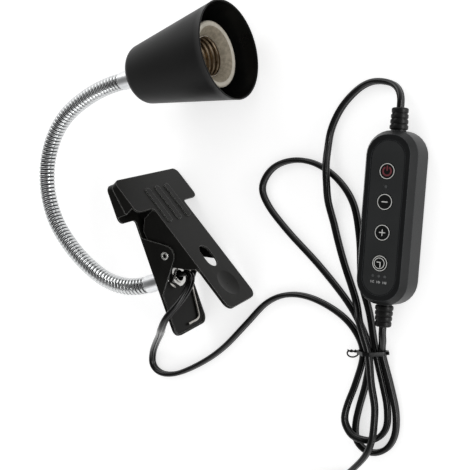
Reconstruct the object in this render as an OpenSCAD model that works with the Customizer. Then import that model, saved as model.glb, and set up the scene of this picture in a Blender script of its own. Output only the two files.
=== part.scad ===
// Reptile clamp lamp, laid on a table as it is photographed: a conical shade with a ceramic
// screw lampholder, a ribbed chrome gooseneck, a pressed steel spring clamp, and a flat
// two-core cord with an in-line dimmer and timer. Millimetres, table top at z = 0.

/* [Shade] */
// Outer radius of the shade's mouth, which rests on the table
mouth_r = 32.5; // [30:0.5:35]
// Outer radius of the cone where it would meet the back plane
back_r = 19.8; // [18.8:0.1:22]
// Length of the shade from mouth to back
shade_len = 77.4; // [74:0.2:84]
// Radius of the rounded edge at the back of the shade
back_round = 7.5; // [5:0.5:9]
// Thickness of the spun aluminium
shade_wall = 1; // [0.8:0.1:1.2]

/* [Lampholder] */
// Radius of the porcelain front ring
holder_r = 22; // [21:0.5:23]
// Depth of the porcelain face inside the mouth
holder_recess = 11.2; // [9:0.2:12]
// Depth of the screw shell's edge behind the porcelain face
shell_set = 7.5; // [5:0.5:8]
// Length of the porcelain body
holder_len = 44; // [42:0.5:46]
// Inner radius of the screw shell for an E27 bulb
socket_r = 13.3; // [13.2:0.05:13.4]
// Length of the screw shell
socket_len = 22; // [20:0.5:24]

/* [Gooseneck] */
// Outer radius of the ribbed hose over the ribs
hose_r = 6.15; // [5.6:0.05:6.5]
// Spacing of the ribs
rib_pitch = 3.1; // [2.6:0.1:3.6]
// Length of the chrome ferrule at the clamp
clamp_ferrule_len = 22; // [18:1:26]
// Length of the chrome ferrule at the shade
head_ferrule_len = 17.5; // [15:0.5:20]
// Radius of both ferrules
ferrule_r = 6.5; // [6.3:0.1:7]

/* [Clamp] */
// Pressed steel thickness
sheet = 1.2; // [1:0.1:1.4]
// Distance from the pivot to the jaw tips
jaw_front = 55.5; // [50:0.5:60]
// Distance from the pivot to the back of the wide jaw
jaw_rear = 29; // [27:0.5:31]
// Half the width of the wide jaw
jaw_half = 36.1; // [32:0.1:40]
// Distance from the pivot to the end of the handles
handle_len = 55; // [52:0.5:60]
// Half the width of the fixed handle
handle_half = 19.5; // [18.5:0.1:21]
// Distance from the pivot axis to the outer face of each plate
plate_d = 14.8; // [14:0.1:16]
// Half the angle between the two plates with the tips together
half_angle = 11.08; // [10:0.02:12]
// Distance of the hollow stud behind the pivot
stud_back = 16.4; // [15.5:0.1:18]
// Radius of the pivot rivet's shank
rivet_r = 2; // [1.8:0.1:2.2]
// Wire diameter of the jaw spring
spring_wire = 1.8; // [1.4:0.1:2]

/* [Controller] */
// Length of the controller's case
ctrl_len = 104.5; // [100:0.5:110]
// Width of the case
ctrl_w = 34; // [33:0.5:37]
// Height of the case
ctrl_h = 21; // [20:0.5:24]
// Height of the parting line
part_z = 16; // [15:0.2:16.6]
// Wall thickness of the case
case_wall = 2; // [1.6:0.1:2.2]
// Radius of the push buttons
button_r = 4.7; // [4.4:0.1:5.2]
// How far a button travels
button_travel = 0.5; // [0.3:0.1:0.6]

/* [Cord and plug] */
// Height of the flat two-core cord, standing on edge
cord_h = 6; // [5.6:0.1:6]
// Thickness of the cord
cord_w = 3.6; // [3:0.1:3.6]
// Mean radius of the outer turn of the put-away coil
coil_r = 33; // [32:0.5:36]
// Radius of the plug's pins
pin_r = 2; // [1.9:0.05:2.1]
// Free length of the plug's pins
pin_len = 19; // [18:0.5:19.5]

/* [Hidden] */
$fn = 48;
tiny = 0.01;
run_gap = 0.06;
body_gap = 0.35;
// shift that puts the lamp's own box over the origin
shift = [-0.52, -0.14, 0];

// depth of the lip turned in round each handle
lip = 2.2;

// clamp placement: it lies on its lower edges, so its tilt follows from its widths
head_corner = 4.5;
handle_corner = 6;
tilt_run = jaw_rear + head_corner + handle_len - handle_corner;
tilt_rise = (jaw_half - head_corner) - (handle_half - handle_corner);
lie = atan(tilt_rise / tilt_run)
    + asin((head_corner - handle_corner) / norm([tilt_run, tilt_rise]));
clamp_tilt = asin(sin(lie) * cos(half_angle));
clamp_roll = atan(tan(lie) * sin(half_angle));
clamp_turn = 13.08;
low_head = (jaw_rear + head_corner) * sin(clamp_tilt)
    + (jaw_rear + head_corner) * tan(half_angle) * cos(clamp_tilt) * sin(clamp_roll)
    - (jaw_half - head_corner) * cos(clamp_tilt) * cos(clamp_roll) - head_corner;
low_handle = (handle_corner - handle_len) * sin(clamp_tilt)
    + (plate_d - lip) * cos(clamp_tilt) * sin(clamp_roll)
    - (handle_half - handle_corner) * cos(clamp_tilt) * cos(clamp_roll) - handle_corner;
clamp_at = [-50.4, -42.7, -min(low_head, low_handle)];
ear_out = handle_half;
ear_in = ear_out - sheet;
cheek_out = ear_in - 0.3;
cheek_in = cheek_out - sheet;
tip_gap = 0.32;

function rot_x(a, v) = [v[0], v[1] * cos(a) - v[2] * sin(a), v[1] * sin(a) + v[2] * cos(a)];
function rot_y(a, v) = [v[0] * cos(a) + v[2] * sin(a), v[1], v[2] * cos(a) - v[0] * sin(a)];
function rot_z(a, v) = [v[0] * cos(a) - v[1] * sin(a), v[0] * sin(a) + v[1] * cos(a), v[2]];
function clamp_dir(v) = rot_z(clamp_turn, rot_y(-clamp_tilt, rot_x(clamp_roll, v)));
function clamp_pt(v) = clamp_at + clamp_dir(v);

// gooseneck centreline: plan arcs as [length, turn], height eased from plate to shade
head_straight = 21.7;
neck_arcs = [
  [clamp_ferrule_len, 0], [49, -43.5], [50.5, -23], [51, -44.5], [56, -56],
  [50.6, -22.2], [head_straight, 0]
];
neck_from = clamp_pt([-stud_back, plate_d, 0]);
neck_dir = clamp_dir([0, 1, 0]);
neck_az = atan2(neck_dir[1], neck_dir[0]);
function arc_end(p, a, arc, s) = let (t = arc[1] * s / arc[0], r = arc[0] / (arc[1] * PI / 180))
  arc[1] == 0 ? p + s * [cos(a), sin(a)]
              : p + r * [sin(a + t) - sin(a), cos(a) - cos(a + t)];
// each arc's start as [point, heading, length so far]
neck_starts = [for (i = 0, p = [neck_from[0], neck_from[1]], a = neck_az, s = 0;
    i <= len(neck_arcs);
    p = i < len(neck_arcs) ? arc_end(p, a, neck_arcs[i], neck_arcs[i][0]) : p,
    a = i < len(neck_arcs) ? a + neck_arcs[i][1] : a,
    s = i < len(neck_arcs) ? s + neck_arcs[i][0] : s, i = i + 1) [p, a, s]];
neck_len = neck_starts[len(neck_arcs)][2];
neck_end = neck_starts[len(neck_arcs)][0];
neck_end_az = neck_starts[len(neck_arcs)][1];
function neck_xy(s) = let (k = s <= 0 ? 0 : max([for (i = [0 : len(neck_arcs) - 1])
    neck_starts[i][2] <= s ? i : 0]))
  arc_end(neck_starts[k][0], neck_starts[k][1], neck_arcs[k], s - neck_starts[k][2]);
lift_from = clamp_ferrule_len + 8;
lift_run = neck_len - head_straight - 4 - lift_from;
function neck_z(s) = s < lift_from ? neck_from[2] + s * neck_dir[2]
  : s > lift_from + lift_run ? mouth_r
  : let (u = (s - lift_from) / lift_run, z0 = neck_from[2] + lift_from * neck_dir[2])
    z0 * (2 * pow(u, 3) - 3 * u * u + 1) + neck_dir[2] * lift_run * (pow(u, 3) - 2 * u * u + u)
    + mouth_r * (3 * u * u - 2 * pow(u, 3));
function neck_pt(s) = [neck_xy(s)[0], neck_xy(s)[1], neck_z(s)];
function neck_tan(s) = unit(neck_pt(s + 0.05) - neck_pt(s - 0.05));
// where the neck is taken to bend
neck_bends = [34, 92, 150, 208, 266];
hose_from = clamp_ferrule_len;
hose_to = neck_len - head_ferrule_len;

// vectors
function unit(v) = v / norm(v);
function side_of(t) = unit(cross(t, [0, 0, 1]));

// controller placement
ctrl_at = [-34.15, -188.7, 0];
ctrl_turn = -6.75;
relief_z = 9;
relief_len = 13.1;
relief_tip = ctrl_len / 2 + relief_len;
panel_in = 3.5;
case_draft = 0.7;
button_x = [27.4, 9.5, -8.5, -26.6];
function ctrl_pt(v) = ctrl_at + rot_z(ctrl_turn, v);

// heights of a strand's middle: on the table, over another strand, on a tie
flat = cord_h / 2;
over = cord_h * 1.5 + 0.4;
strand = flat + 1.1;
stacked = strand + cord_h + 0.3;

// the tie: its place, and the strands side by side in it
tie_at = [-116, -171.6];
strand_step = cord_w + 0.55;
function tied(i, z) = [tie_at[0], tie_at[1] + (1.5 - i) * strand_step, z];

// put-away coil: in on the table, out again on top, then down to the plug
coil_mid = [-240, -125];
coil_start = 17.5;
coil_half = 435;
coil_end = coil_start + 2 * coil_half;
coil_step = 5.6;
coil_low = flat + 0.9;
coil_high = coil_low + cord_h + 0.6;
function coil_rad(a) = let (u = a - coil_start)
  coil_r - coil_step * (u < coil_half ? u : 2 * coil_half - u) / 360;
function coil_z(a) = let (u = a - coil_start)
  u < 15 ? flat : u < 45 ? flat + (coil_low - flat) * (u - 15) / 30
  : u < coil_half - 50 ? coil_low
  : u > coil_half + 45 ? coil_high
  : coil_low + (coil_high - coil_low) * (u - coil_half + 50) / 95;
function coil_at(a) = [coil_mid[0] + coil_rad(a) * cos(a), coil_mid[1] + coil_rad(a) * sin(a),
  coil_z(a)];
plug_at = [-279, -163, 7.2];
coil_path = concat([for (a = [coil_start : 15 : coil_end]) coil_at(a)],
  [coil_at(coil_end) + [-3.6, -15.6, -1.5], plug_at + [0, 12, 0], plug_at + [0, 6, 0], plug_at]);
// least distance between the skins of strands of the coil that aren't next to each other
coil_gap = min([for (i = [0 : len(coil_path) - 9], j = [i + 8 : len(coil_path) - 1])
  let (d = coil_path[j] - coil_path[i])
  max(norm([d[0], d[1]]) - cord_w, abs(d[2]) - cord_h)]);

// cord routes, taken from the photograph; crossings climb over the strand below
lamp_route = concat(
  [for (y = [plate_d, 8, 1]) clamp_pt([-stud_back, y, 0])],
  [[-69.5, -51, 29], [-76, -52, 33.5], [-85.5, -49.5, 41], [-95, -42.5, 46],
   [-103, -34, 41.4], [-109.5, -20, 27], [-118, -4, 13], [-127, 7, 4.5],
   [-136.5, 9, flat], [-142.5, 1, flat], [-141.5, -15, flat], [-132, -38, flat],
   [-120, -57.5, flat], [-103, -77, flat], [-88, -94, flat], [-82, -110, flat],
   [-83, -127, flat], [-90.5, -145, flat], [-101, -158, flat], tied(0, strand)],
  // first turn above the tie, over the second
  [[-136, -159, flat], [-149, -154.5, 6], [-159, -153.5, over], [-167.5, -158.5, over + 0.3],
   [-169, -162.3, 9.1], [-170.8, -167, 4.6], [-168.5, -173.5, flat], [-161, -179, flat],
   [-148, -179.6, flat], [-136, -177.4, flat], tied(2, strand)],
  // the large loop beside the controller
  [[-92, -169.8, flat], [-72, -165, flat], [-46, -164.6, flat], [-24, -161, flat],
   [-8, -150.5, flat], [3, -135, flat], [6.5, -118, flat], [2.5, -102.5, flat],
   [-9, -93.8, flat], [-22, -98, flat], [-40, -113, flat], [-62, -135, flat],
   [-84, -154, flat], [-99, -163.2, flat], tied(1, strand)],
  // second turn, then into the controller
  [[-136, -165.8, flat], [-149, -161.5, flat], [-162, -158, flat], [-172.5, -158.5, flat],
   [-178.5, -167, flat], [-175.5, -177.5, flat], [-166, -184, flat],
   [-152, -185.2, flat], [-136, -182.2, flat], tied(3, strand),
   [-109, -179.6, 6.6], for (x = [5, 0]) ctrl_pt([-relief_tip - x, 0, relief_z])]);
plug_route = concat(
  [for (x = [0, 5]) ctrl_pt([relief_tip + x, 0, relief_z])], [[40, -195.9, 7.4], [46.2, -190.8, 4],
   [50, -179, flat], [47.5, -168, flat], [37.5, -155.5, flat], [24, -147.2, flat],
   [12, -145.4, 5], [1, -146, over], [-11, -146, over], [-22, -144.8, 5.8],
   [-36, -147, flat], [-60, -153, flat], [-84, -161.3, 4.2], [-98, -166.5, stacked],
   tied(1.5, stacked), [-134, -172.6, 9.9], [-148, -173.8, 8.2], [-158, -173.6, 9.4],
   [-168, -172.6, over + 1.4], [-178, -168, over + 1], [-187, -159.5, 7.6], [-196, -148, flat],
   [-202, -132, flat]],
  [coil_at(coil_start) - 6 * unit(coil_at(coil_start + 15) - coil_at(coil_start)),
   coil_at(coil_start)]);

// cross-sections, counter-clockwise, as [side, up]
cord_8 = [[cord_w / 2, -cord_h * 0.28], [cord_w / 2, cord_h * 0.28], [cord_w / 4, cord_h / 2],
  [-cord_w / 4, cord_h / 2], [-cord_w / 2, cord_h * 0.28], [-cord_w / 2, -cord_h * 0.28],
  [-cord_w / 4, -cord_h / 2], [cord_w / 4, -cord_h / 2]];
cord_6 = [[cord_w / 2, -cord_h * 0.27], [cord_w / 2, cord_h * 0.27], [0, cord_h / 2],
  [-cord_w / 2, cord_h * 0.27], [-cord_w / 2, -cord_h * 0.27], [0, -cord_h / 2]];
function ring_of(r, n) = [for (i = [0 : n - 1]) r * [cos(i * 360 / n), sin(i * 360 / n)]];

// [all, shade, fixed_jaw, moving_jaw]

// small helpers
module row() translate(shift) children();
module at_clamp() row() translate(clamp_at) rotate([clamp_roll, -clamp_tilt, clamp_turn]) children();
// the moving jaw is the fixed jaw's mirror image about the line where the tips meet
module at_moving() at_clamp() rotate([0, 0, 2 * half_angle]) mirror([0, 1, 0]) children();
// shade frame: z from the mouth to the back along the lamp's axis
module at_head() row()
  translate([neck_end[0] + shade_len * cos(neck_end_az), neck_end[1] + shade_len * sin(neck_end_az),
    mouth_r]) rotate([0, 90, neck_end_az + 180]) children();
module at_ctrl() row() translate(ctrl_at) rotate([0, 0, ctrl_turn]) children();
module along_y(y0, y1) translate([0, y1, 0]) rotate([90, 0, 0])
  linear_extrude(height = y1 - y0) children();
module rrect(x0, x1, y0, y1, r, fine = 32) {
  translate([x0 + r, y0]) square([x1 - x0 - 2 * r, y1 - y0]);
  translate([x0, y0 + r]) square([x1 - x0, y1 - y0 - 2 * r]);
  for (x = [x0 + r, x1 - r], y = [y0 + r, y1 - r]) translate([x, y]) circle(r, $fn = fine);
}
module pipe(r_out, r_in, z0, z1) translate([0, 0, z0]) difference() {
  cylinder(h = z1 - z0, r = r_out);
  translate([0, 0, -1]) cylinder(h = z1 - z0 + 2, r = r_in);
}

// tubes: rings of a section set square to a route
function tangents(p) = [for (i = [0 : len(p) - 1])
  i == 0 ? unit(p[1] - p[0]) : i == len(p) - 1 ? unit(p[i] - p[i - 1])
  : unit(unit(p[i + 1] - p[i]) + unit(p[i] - p[i - 1]))];
function level_sides(t) = [for (v = t) side_of(v)];
function carried_sides(t) = [for (i = 0, s = side_of(t[0]); i < len(t);
    i = i + 1, s = i < len(t) ? unit(s - (s * t[i]) * t[i]) : s) s];
function ring_pts(p, t, s, sec, k) = [for (i = [0 : len(p) - 1], q = sec)
  p[i] + k[i] * (q[0] * s[i] + q[1] * cross(s[i], t[i]))];
function wall_faces(rings, n, base, flip) = [for (i = [0 : rings - 2], j = [0 : n - 1])
  let (a = base + i * n + j, b = base + i * n + (j + 1) % n, c = b + n, d = a + n)
  each (flip ? [[a, c, b], [a, d, c]] : [[a, b, c], [a, c, d]])];
module tube(p, sec, carried = false) square_tube(p, tangents(p), sec, carried);
module square_tube(p, t, sec, carried = false) {
  s = carried ? carried_sides(t) : level_sides(t);
  n = len(sec);
  m = len(p);
  polyhedron(points = ring_pts(p, t, s, sec, [for (i = p) 1]),
    faces = concat([[for (j = [n - 1 : -1 : 0]) j]], wall_faces(m, n, 0, false),
      [[for (j = [0 : n - 1]) (m - 1) * n + j]]), convexity = 10);
}
// ribbed hose with its bore between two lengths along the neck
module hose(s0, s1) {
  n = 8;
  ribs = max(1, round((s1 - s0) / rib_pitch));
  outer = [for (i = [0 : 2 * ribs]) s0 + (s1 - s0) * i / (2 * ribs)];
  steps = max(1, ceil((s1 - s0) / 8));
  inner = [for (i = [0 : steps]) s0 + (s1 - s0) * i / steps];
  po = [for (s = outer) neck_pt(s)];
  pi2 = [for (s = inner) neck_pt(s)];
  to = [for (s = outer) neck_tan(s)];
  ti = [for (s = inner) neck_tan(s)];
  no = len(outer) * n;
  ni = no + (len(inner) - 1) * n;
  polyhedron(points = concat(
      ring_pts(po, to, level_sides(to), ring_of(1, n),
        [for (i = [0 : 2 * ribs]) i % 2 == 0 ? hose_r - 0.7 : hose_r]),
      ring_pts(pi2, ti, level_sides(ti), ring_of(1, n), [for (s = inner) hose_r - 1.9])),
    faces = concat(wall_faces(len(outer), n, 0, false), wall_faces(len(inner), n, no, true),
      [for (j = [0 : n - 1]) let (k = (j + 1) % n) each [[j, no + j, no + k], [j, no + k, k]]],
      [for (j = [0 : n - 1]) let (k = (j + 1) % n, o = no - n)
        each [[o + j, ni + k, ni + j], [o + j, o + k, ni + k]]]), convexity = 10);
}
module neck_cable(s0, s1) {
  steps = max(1, ceil((s1 - s0) / 12));
  at = [for (i = [0 : steps]) s0 + (s1 - s0) * i / steps];
  square_tube([for (s = at) neck_pt(s)], [for (s = at) neck_tan(s)], cord_8);
}

// shade: spun cone with a rounded back edge, mouth at local z = 0
cone = atan((mouth_r - back_r) / shade_len);
module shade() color([0.09, 0.09, 0.09]) at_head() {
  zc = shade_len - back_round;
  rc = mouth_r - zc * tan(cone) - back_round / cos(cone);
  rotate_extrude($fn = 96) polygon(concat(
    [[mouth_r, 0]],
    [for (i = [0 : 8]) let (a = cone + (90 - cone) * i / 8)
      [rc + back_round * cos(a), zc + back_round * sin(a)]],
    [[nipple_r + 0.1, shade_len], [nipple_r + 0.1, shade_len - shade_wall]],
    [for (i = [8 : -1 : 0]) let (a = cone + (90 - cone) * i / 8)
      [rc + (back_round - shade_wall) * cos(a), zc + (back_round - shade_wall) * sin(a)]],
    [[mouth_r - shade_wall / cos(cone), 0]]));
}

// porcelain lampholder
holder_back = holder_recess + holder_len;
body_r = holder_r - 3.2;
shell_from = holder_recess + shell_set;
shell_wall = 0.5;
pocket_z = shell_from + socket_len + 3;
nipple_r = 4.95;
nipple_out = 9;
stud_out = 10;
nipple_bore = 3.6;
strap = 1.5;
module lampholder_body() color([0.72, 0.67, 0.58]) at_head() difference() {
  rotate_extrude($fn = 72) polygon([
    [socket_r + 1.2, shell_from - 2.6], [holder_r - 3.6, holder_recess + 0.9],
    [holder_r - 2.8, holder_recess + 0.2], [holder_r - 1.8, holder_recess],
    [holder_r - 0.6, holder_recess + 0.5], [holder_r, holder_recess + 1.7],
    [holder_r, holder_recess + 10],
    [body_r, holder_recess + 13], [body_r, holder_back - 1], [body_r - 1, holder_back],
    [4, holder_back], [4, holder_back - 5], [0, holder_back - 5], [0, pocket_z],
    [socket_r - 2, pocket_z], [socket_r - 2, shell_from + socket_len + shell_wall],
    [socket_r + shell_wall + 0.05, shell_from + socket_len + shell_wall],
    [socket_r + shell_wall + 0.05, shell_from - 1.2], [socket_r + 1.2, shell_from - 1.6]]);
  for (a = [0, 180]) rotate([0, 0, a]) translate([12, 0, holder_back - 6])
    cylinder(h = 7, r = 1.55, $fn = 24);
}
// screw shell: rolled brass sleeve whose bore takes the bulb's cap
module screw_shell() color([0.78, 0.7, 0.5]) at_head() {
  pipe(socket_r + shell_wall, socket_r, shell_from, shell_from + socket_len);
  pipe(socket_r + shell_wall, socket_r - 3, shell_from + socket_len,
    shell_from + socket_len + shell_wall);
}
// spring tongue at the bottom of the socket
module centre_contact() color([0.8, 0.66, 0.35]) at_head()
  translate([0, -4, 0]) rotate([-90, 0, 0]) mirror([0, 1, 0]) linear_extrude(height = 8)
    polygon([[-9, pocket_z], [-9, pocket_z - 0.8], [-5, pocket_z - 0.8], [1, pocket_z - 2.5],
      [4, pocket_z - 2.7], [6, pocket_z - 2], [5.6, pocket_z - 1.4], [3.8, pocket_z - 2],
      [1.4, pocket_z - 1.8], [-4.6, pocket_z]]);
// steel strap that holds the porcelain to the nipple
module lampholder_bracket() color([0.6, 0.6, 0.62]) at_head() difference() {
  union() {
    translate([0, 0, holder_back]) linear_extrude(height = strap) rrect(-16, 16, -6, 6, 3);
    pipe(nipple_r + 2, nipple_r + 0.02, holder_back + strap - tiny, holder_back + strap + 3);
  }
  translate([0, 0, holder_back - 1]) cylinder(h = strap + 8, r = nipple_r + 0.02);
  for (x = [-12, 12]) translate([x, 0, holder_back - 1]) cylinder(h = 4, r = 1.7, $fn = 24);
}
module bracket_screws() color([0.75, 0.75, 0.77]) at_head() for (x = [-12, 12])
  translate([x, 0, 0]) {
    translate([0, 0, holder_back - 5.5]) cylinder(h = 5.5 + strap + tiny, r = 1.5, $fn = 24);
    translate([0, 0, holder_back + strap]) cylinder(h = 1.6, r = 2.8, $fn = 24);
  }
module fixing_nipple() color([0.75, 0.75, 0.77]) at_head()
  pipe(nipple_r, nipple_bore, holder_back + 0.1, shade_len + nipple_out);
module nipple_nut() color([0.75, 0.75, 0.77]) at_head() difference() {
  translate([0, 0, shade_len - shade_wall - 3.2]) cylinder(h = 3.2, r = 8.1, $fn = 6);
  translate([0, 0, shade_len - 8]) cylinder(h = 10, r = nipple_r + 0.02);
}
// chrome collar between the shade and the hose
module collar(z0, z1, bore_z, small_first) {
  difference() {
    union() {
      translate([0, 0, z0]) cylinder(h = z1 - z0, r = ferrule_r - 0.3);
      translate([0, 0, z0 + 0.6]) cylinder(h = z1 - z0 - 1.2, r = ferrule_r);
    }
    translate([0, 0, z0 - 1]) cylinder(h = z1 - z0 + 2, r = 4);
    translate([0, 0, z0 - 1]) cylinder(h = bore_z + 1, r = nipple_r + 0.02);
  }
}
module head_ferrule() color([0.8, 0.81, 0.83]) at_head()
  collar(shade_len, shade_len + head_ferrule_len, nipple_out + 0.5);

// gooseneck: ribbed hose and the cord inside it, in lengths between the bends
module neck_hose_root() color([0.8, 0.81, 0.83]) row() hose(hose_from, neck_bends[0]);
module neck_hose_1() color([0.8, 0.81, 0.83]) row() hose(neck_bends[0], neck_bends[1]);
module neck_hose_2() color([0.8, 0.81, 0.83]) row() hose(neck_bends[1], neck_bends[2]);
module neck_hose_3() color([0.8, 0.81, 0.83]) row() hose(neck_bends[2], neck_bends[3]);
module neck_hose_4() color([0.8, 0.81, 0.83]) row() hose(neck_bends[3], neck_bends[4]);
module neck_hose_head() color([0.8, 0.81, 0.83]) row() hose(neck_bends[4], hose_to);
module neck_cable_root() color([0.06, 0.06, 0.06]) row() neck_cable(0, neck_bends[0]);
module neck_cable_1() color([0.06, 0.06, 0.06]) row() neck_cable(neck_bends[0], neck_bends[1]);
module neck_cable_2() color([0.06, 0.06, 0.06]) row() neck_cable(neck_bends[1], neck_bends[2]);
module neck_cable_3() color([0.06, 0.06, 0.06]) row() neck_cable(neck_bends[2], neck_bends[3]);
module neck_cable_4() color([0.06, 0.06, 0.06]) row() neck_cable(neck_bends[3], neck_bends[4]);
module neck_cable_head() color([0.06, 0.06, 0.06]) row()
  neck_cable(neck_bends[4], neck_len + shade_len - holder_back + 3);

// clamp fittings on the fixed plate
module clamp_ferrule() color([0.8, 0.81, 0.83]) at_clamp()
  translate([-stud_back, plate_d, 0]) rotate([-90, 0, 0])
    collar(0, clamp_ferrule_len, stud_out + 0.5);
stud_in = plate_d - 6.8;
module threaded_stud() color([0.75, 0.75, 0.77]) at_clamp()
  translate([-stud_back, 0, 0]) rotate([-90, 0, 0]) pipe(nipple_r, 4, stud_in, plate_d + stud_out);
module lock_washer() color([0.7, 0.7, 0.72]) at_clamp()
  translate([-stud_back, 0, 0]) rotate([-90, 0, 0])
    pipe(7.8, nipple_r + 0.1, plate_d - sheet - 0.8, plate_d - sheet);
module hex_nut() color([0.75, 0.75, 0.77]) at_clamp()
  translate([-stud_back, 0, 0]) rotate([-90, 0, 0]) difference() {
    intersection() {
      translate([0, 0, plate_d - sheet - 4.8]) rotate([0, 0, 12]) cylinder(h = 4, r = 8.1, $fn = 6);
      translate([0, 0, plate_d - sheet - 4.8]) cylinder(h = 4, r1 = 7.3, r2 = 9.3);
    }
    translate([0, 0, 0]) cylinder(h = 20, r = nipple_r + 0.02);
  }

// pressed steel jaws
module jaw_plan(half) {
  rrect(jaw_rear, jaw_front, -jaw_half, jaw_half, head_corner);
  rrect(-handle_len, jaw_rear + 8, -half, half, handle_corner);
  // small fillets where the handle widens into the jaw
  for (m = [0, 1]) mirror([0, m]) difference() {
    translate([jaw_rear - 2.5, half - 1]) square([3.5, 3.5]);
    translate([jaw_rear - 2.5, half + 2.5]) circle(2.5, $fn = 32);
  }
}
// turned-in rim of the wide jaw, open towards the handle
module jaw_rim() difference() {
  rrect(jaw_rear, jaw_front, -jaw_half, jaw_half, head_corner);
  rrect(jaw_rear - 20, jaw_front - sheet, -jaw_half + sheet, jaw_half - sheet,
    head_corner - sheet);
  translate([jaw_rear - 1, -jaw_half - 1]) square([head_corner + 1, 2 * jaw_half + 2]);
}
// small turned-in lip round the handle
module handle_lip(half) difference() {
  rrect(-handle_len, 0, -half, half, handle_corner);
  rrect(-handle_len + sheet, 20, -half + sheet, half - sheet, handle_corner - sheet);
  translate([-24, -half - 1]) square([60, 2 * half + 2]);
}
module jaw_body(half) {
  along_y(plate_d - sheet, plate_d) jaw_plan(half);
  along_y(plate_d - lip, plate_d - sheet + tiny) handle_lip(half);
  difference() {
    along_y(0, plate_d - sheet + tiny) jaw_rim();
    // the rims stop just short of the line where both jaws meet
    rotate([0, 0, half_angle]) translate([0, tip_gap / 2 - jaw_front, -jaw_half - 1])
      cube([2 * jaw_front, jaw_front, 2 * jaw_half + 2]);
  }
}
module fixed_jaw() color([0.08, 0.08, 0.08]) at_clamp() difference() {
  union() {
    jaw_body(handle_half);
    for (z = [-ear_out, ear_in]) translate([0, 0, z]) linear_extrude(height = sheet) hull() {
      circle(7.1, $fn = 48);
      translate([-26, plate_d - sheet]) square([42, sheet - 0.2]);
    }
  }
  translate([-stud_back, 0, 0]) rotate([-90, 0, 0]) cylinder(h = 40, r = nipple_r + 0.15);
  translate([0, 0, -ear_out - 1]) cylinder(h = 2 * ear_out + 2, r = rivet_r + 0.02);
}
module cheek() polygon(concat(
  [[28.5, plate_d - 0.2], [28.5, 4], [23, -3], [14, -5.5]],
  [for (a = [-60 : -15 : -150]) 8 * [cos(a), sin(a)]],
  [[-16, 5.4], [-19.6, 10.1], [-22, plate_d - 0.2]]));
slot_x = 16;
dimple_x = 38.6;
dimple_deep = 1.3;
rib_x = [16, 44.5];
module capsule(x0, x1, z, r) {
  translate([x0 + r, z - r]) square([x1 - x0 - 2 * r, 2 * r]);
  for (x = [x0 + r, x1 - r]) translate([x, z]) circle(r, $fn = 24);
}
module bowl(r, depth) rotate_extrude($fn = 48)
  polygon(concat([[0, 0]], [for (i = [0 : 6]) [r * i / 6, depth * (1 - pow(i / 6, 2))]]));
module moving_jaw() color([0.08, 0.08, 0.08]) at_moving() difference() {
  union() {
    jaw_body(cheek_out);
    for (z = [-cheek_out, cheek_in]) translate([0, 0, z]) linear_extrude(height = sheet) cheek();
    for (v = [-11.2, 0, 11.2]) along_y(plate_d - tiny, plate_d + 0.8)
      capsule(rib_x[0], rib_x[1], v, 2.4);
    translate([-dimple_x, plate_d - sheet + tiny, 0]) rotate([90, 0, 0]) bowl(10, dimple_deep);
  }
  for (v = [-11.2, 0, 11.2]) along_y(plate_d - sheet - 1, plate_d - 0.4)
    capsule(rib_x[0] + 0.9, rib_x[1] - 0.9, v, 1.5);
  along_y(plate_d - sheet - 3, plate_d + 1) capsule(-slot_x - 8.5, -slot_x + 8.5, 0, 5.3);
  translate([-dimple_x, plate_d + tiny, 0]) rotate([90, 0, 0]) bowl(10, dimple_deep);
  translate([0, 0, -ear_out]) cylinder(h = 2 * ear_out, r = rivet_r + run_gap);
}
module pivot_rivet() color([0.8, 0.8, 0.8]) at_clamp() difference() {
  union() {
    translate([0, 0, -ear_out]) cylinder(h = 2 * ear_out, r = rivet_r);
    for (m = [0, 1]) mirror([0, 0, m]) translate([0, 0, ear_out])
      cylinder(h = 0.9, r1 = rivet_r + 0.8, r2 = rivet_r + 0.4);
  }
  translate([0, 0, -ear_out - 1]) cylinder(h = 2 * ear_out + 2, r = rivet_r - 0.9, $fn = 24);
}
// torsion spring round the rivet, a leg along the inside of each handle
spring_r = 5;
spring_half = 13;
spring_turns = 5 + (180 - 2 * half_angle) / 360;
leg_y = plate_d - sheet - spring_wire / 2 - 0.02;
function turned(v) = rot_z(2 * half_angle, [v[0], -v[1], v[2]]);
spring_path = concat(
  [[-50.5, leg_y, 2.5], [-50.4, leg_y, -9], [-49, leg_y, -11.7], [-46, leg_y, -12.6],
   [-31, leg_y, -15], [-5, spring_r + 0.1, -spring_half]],
  [for (i = [0 : 43]) let (a = 90 - i * spring_turns * 360 / 43)
    [spring_r * cos(a), spring_r * sin(a), -spring_half + 2 * spring_half * i / 43]],
  [for (v = [[-5, spring_r + 0.1, spring_half], [-31, leg_y - body_gap, 13.5],
     [-46, leg_y - body_gap, 12.5]]) turned(v)]);
module torsion_spring() color([0.8, 0.8, 0.8]) at_clamp()
  tube(spring_path, ring_of(spring_wire / 2, 6), carried = true);

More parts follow.
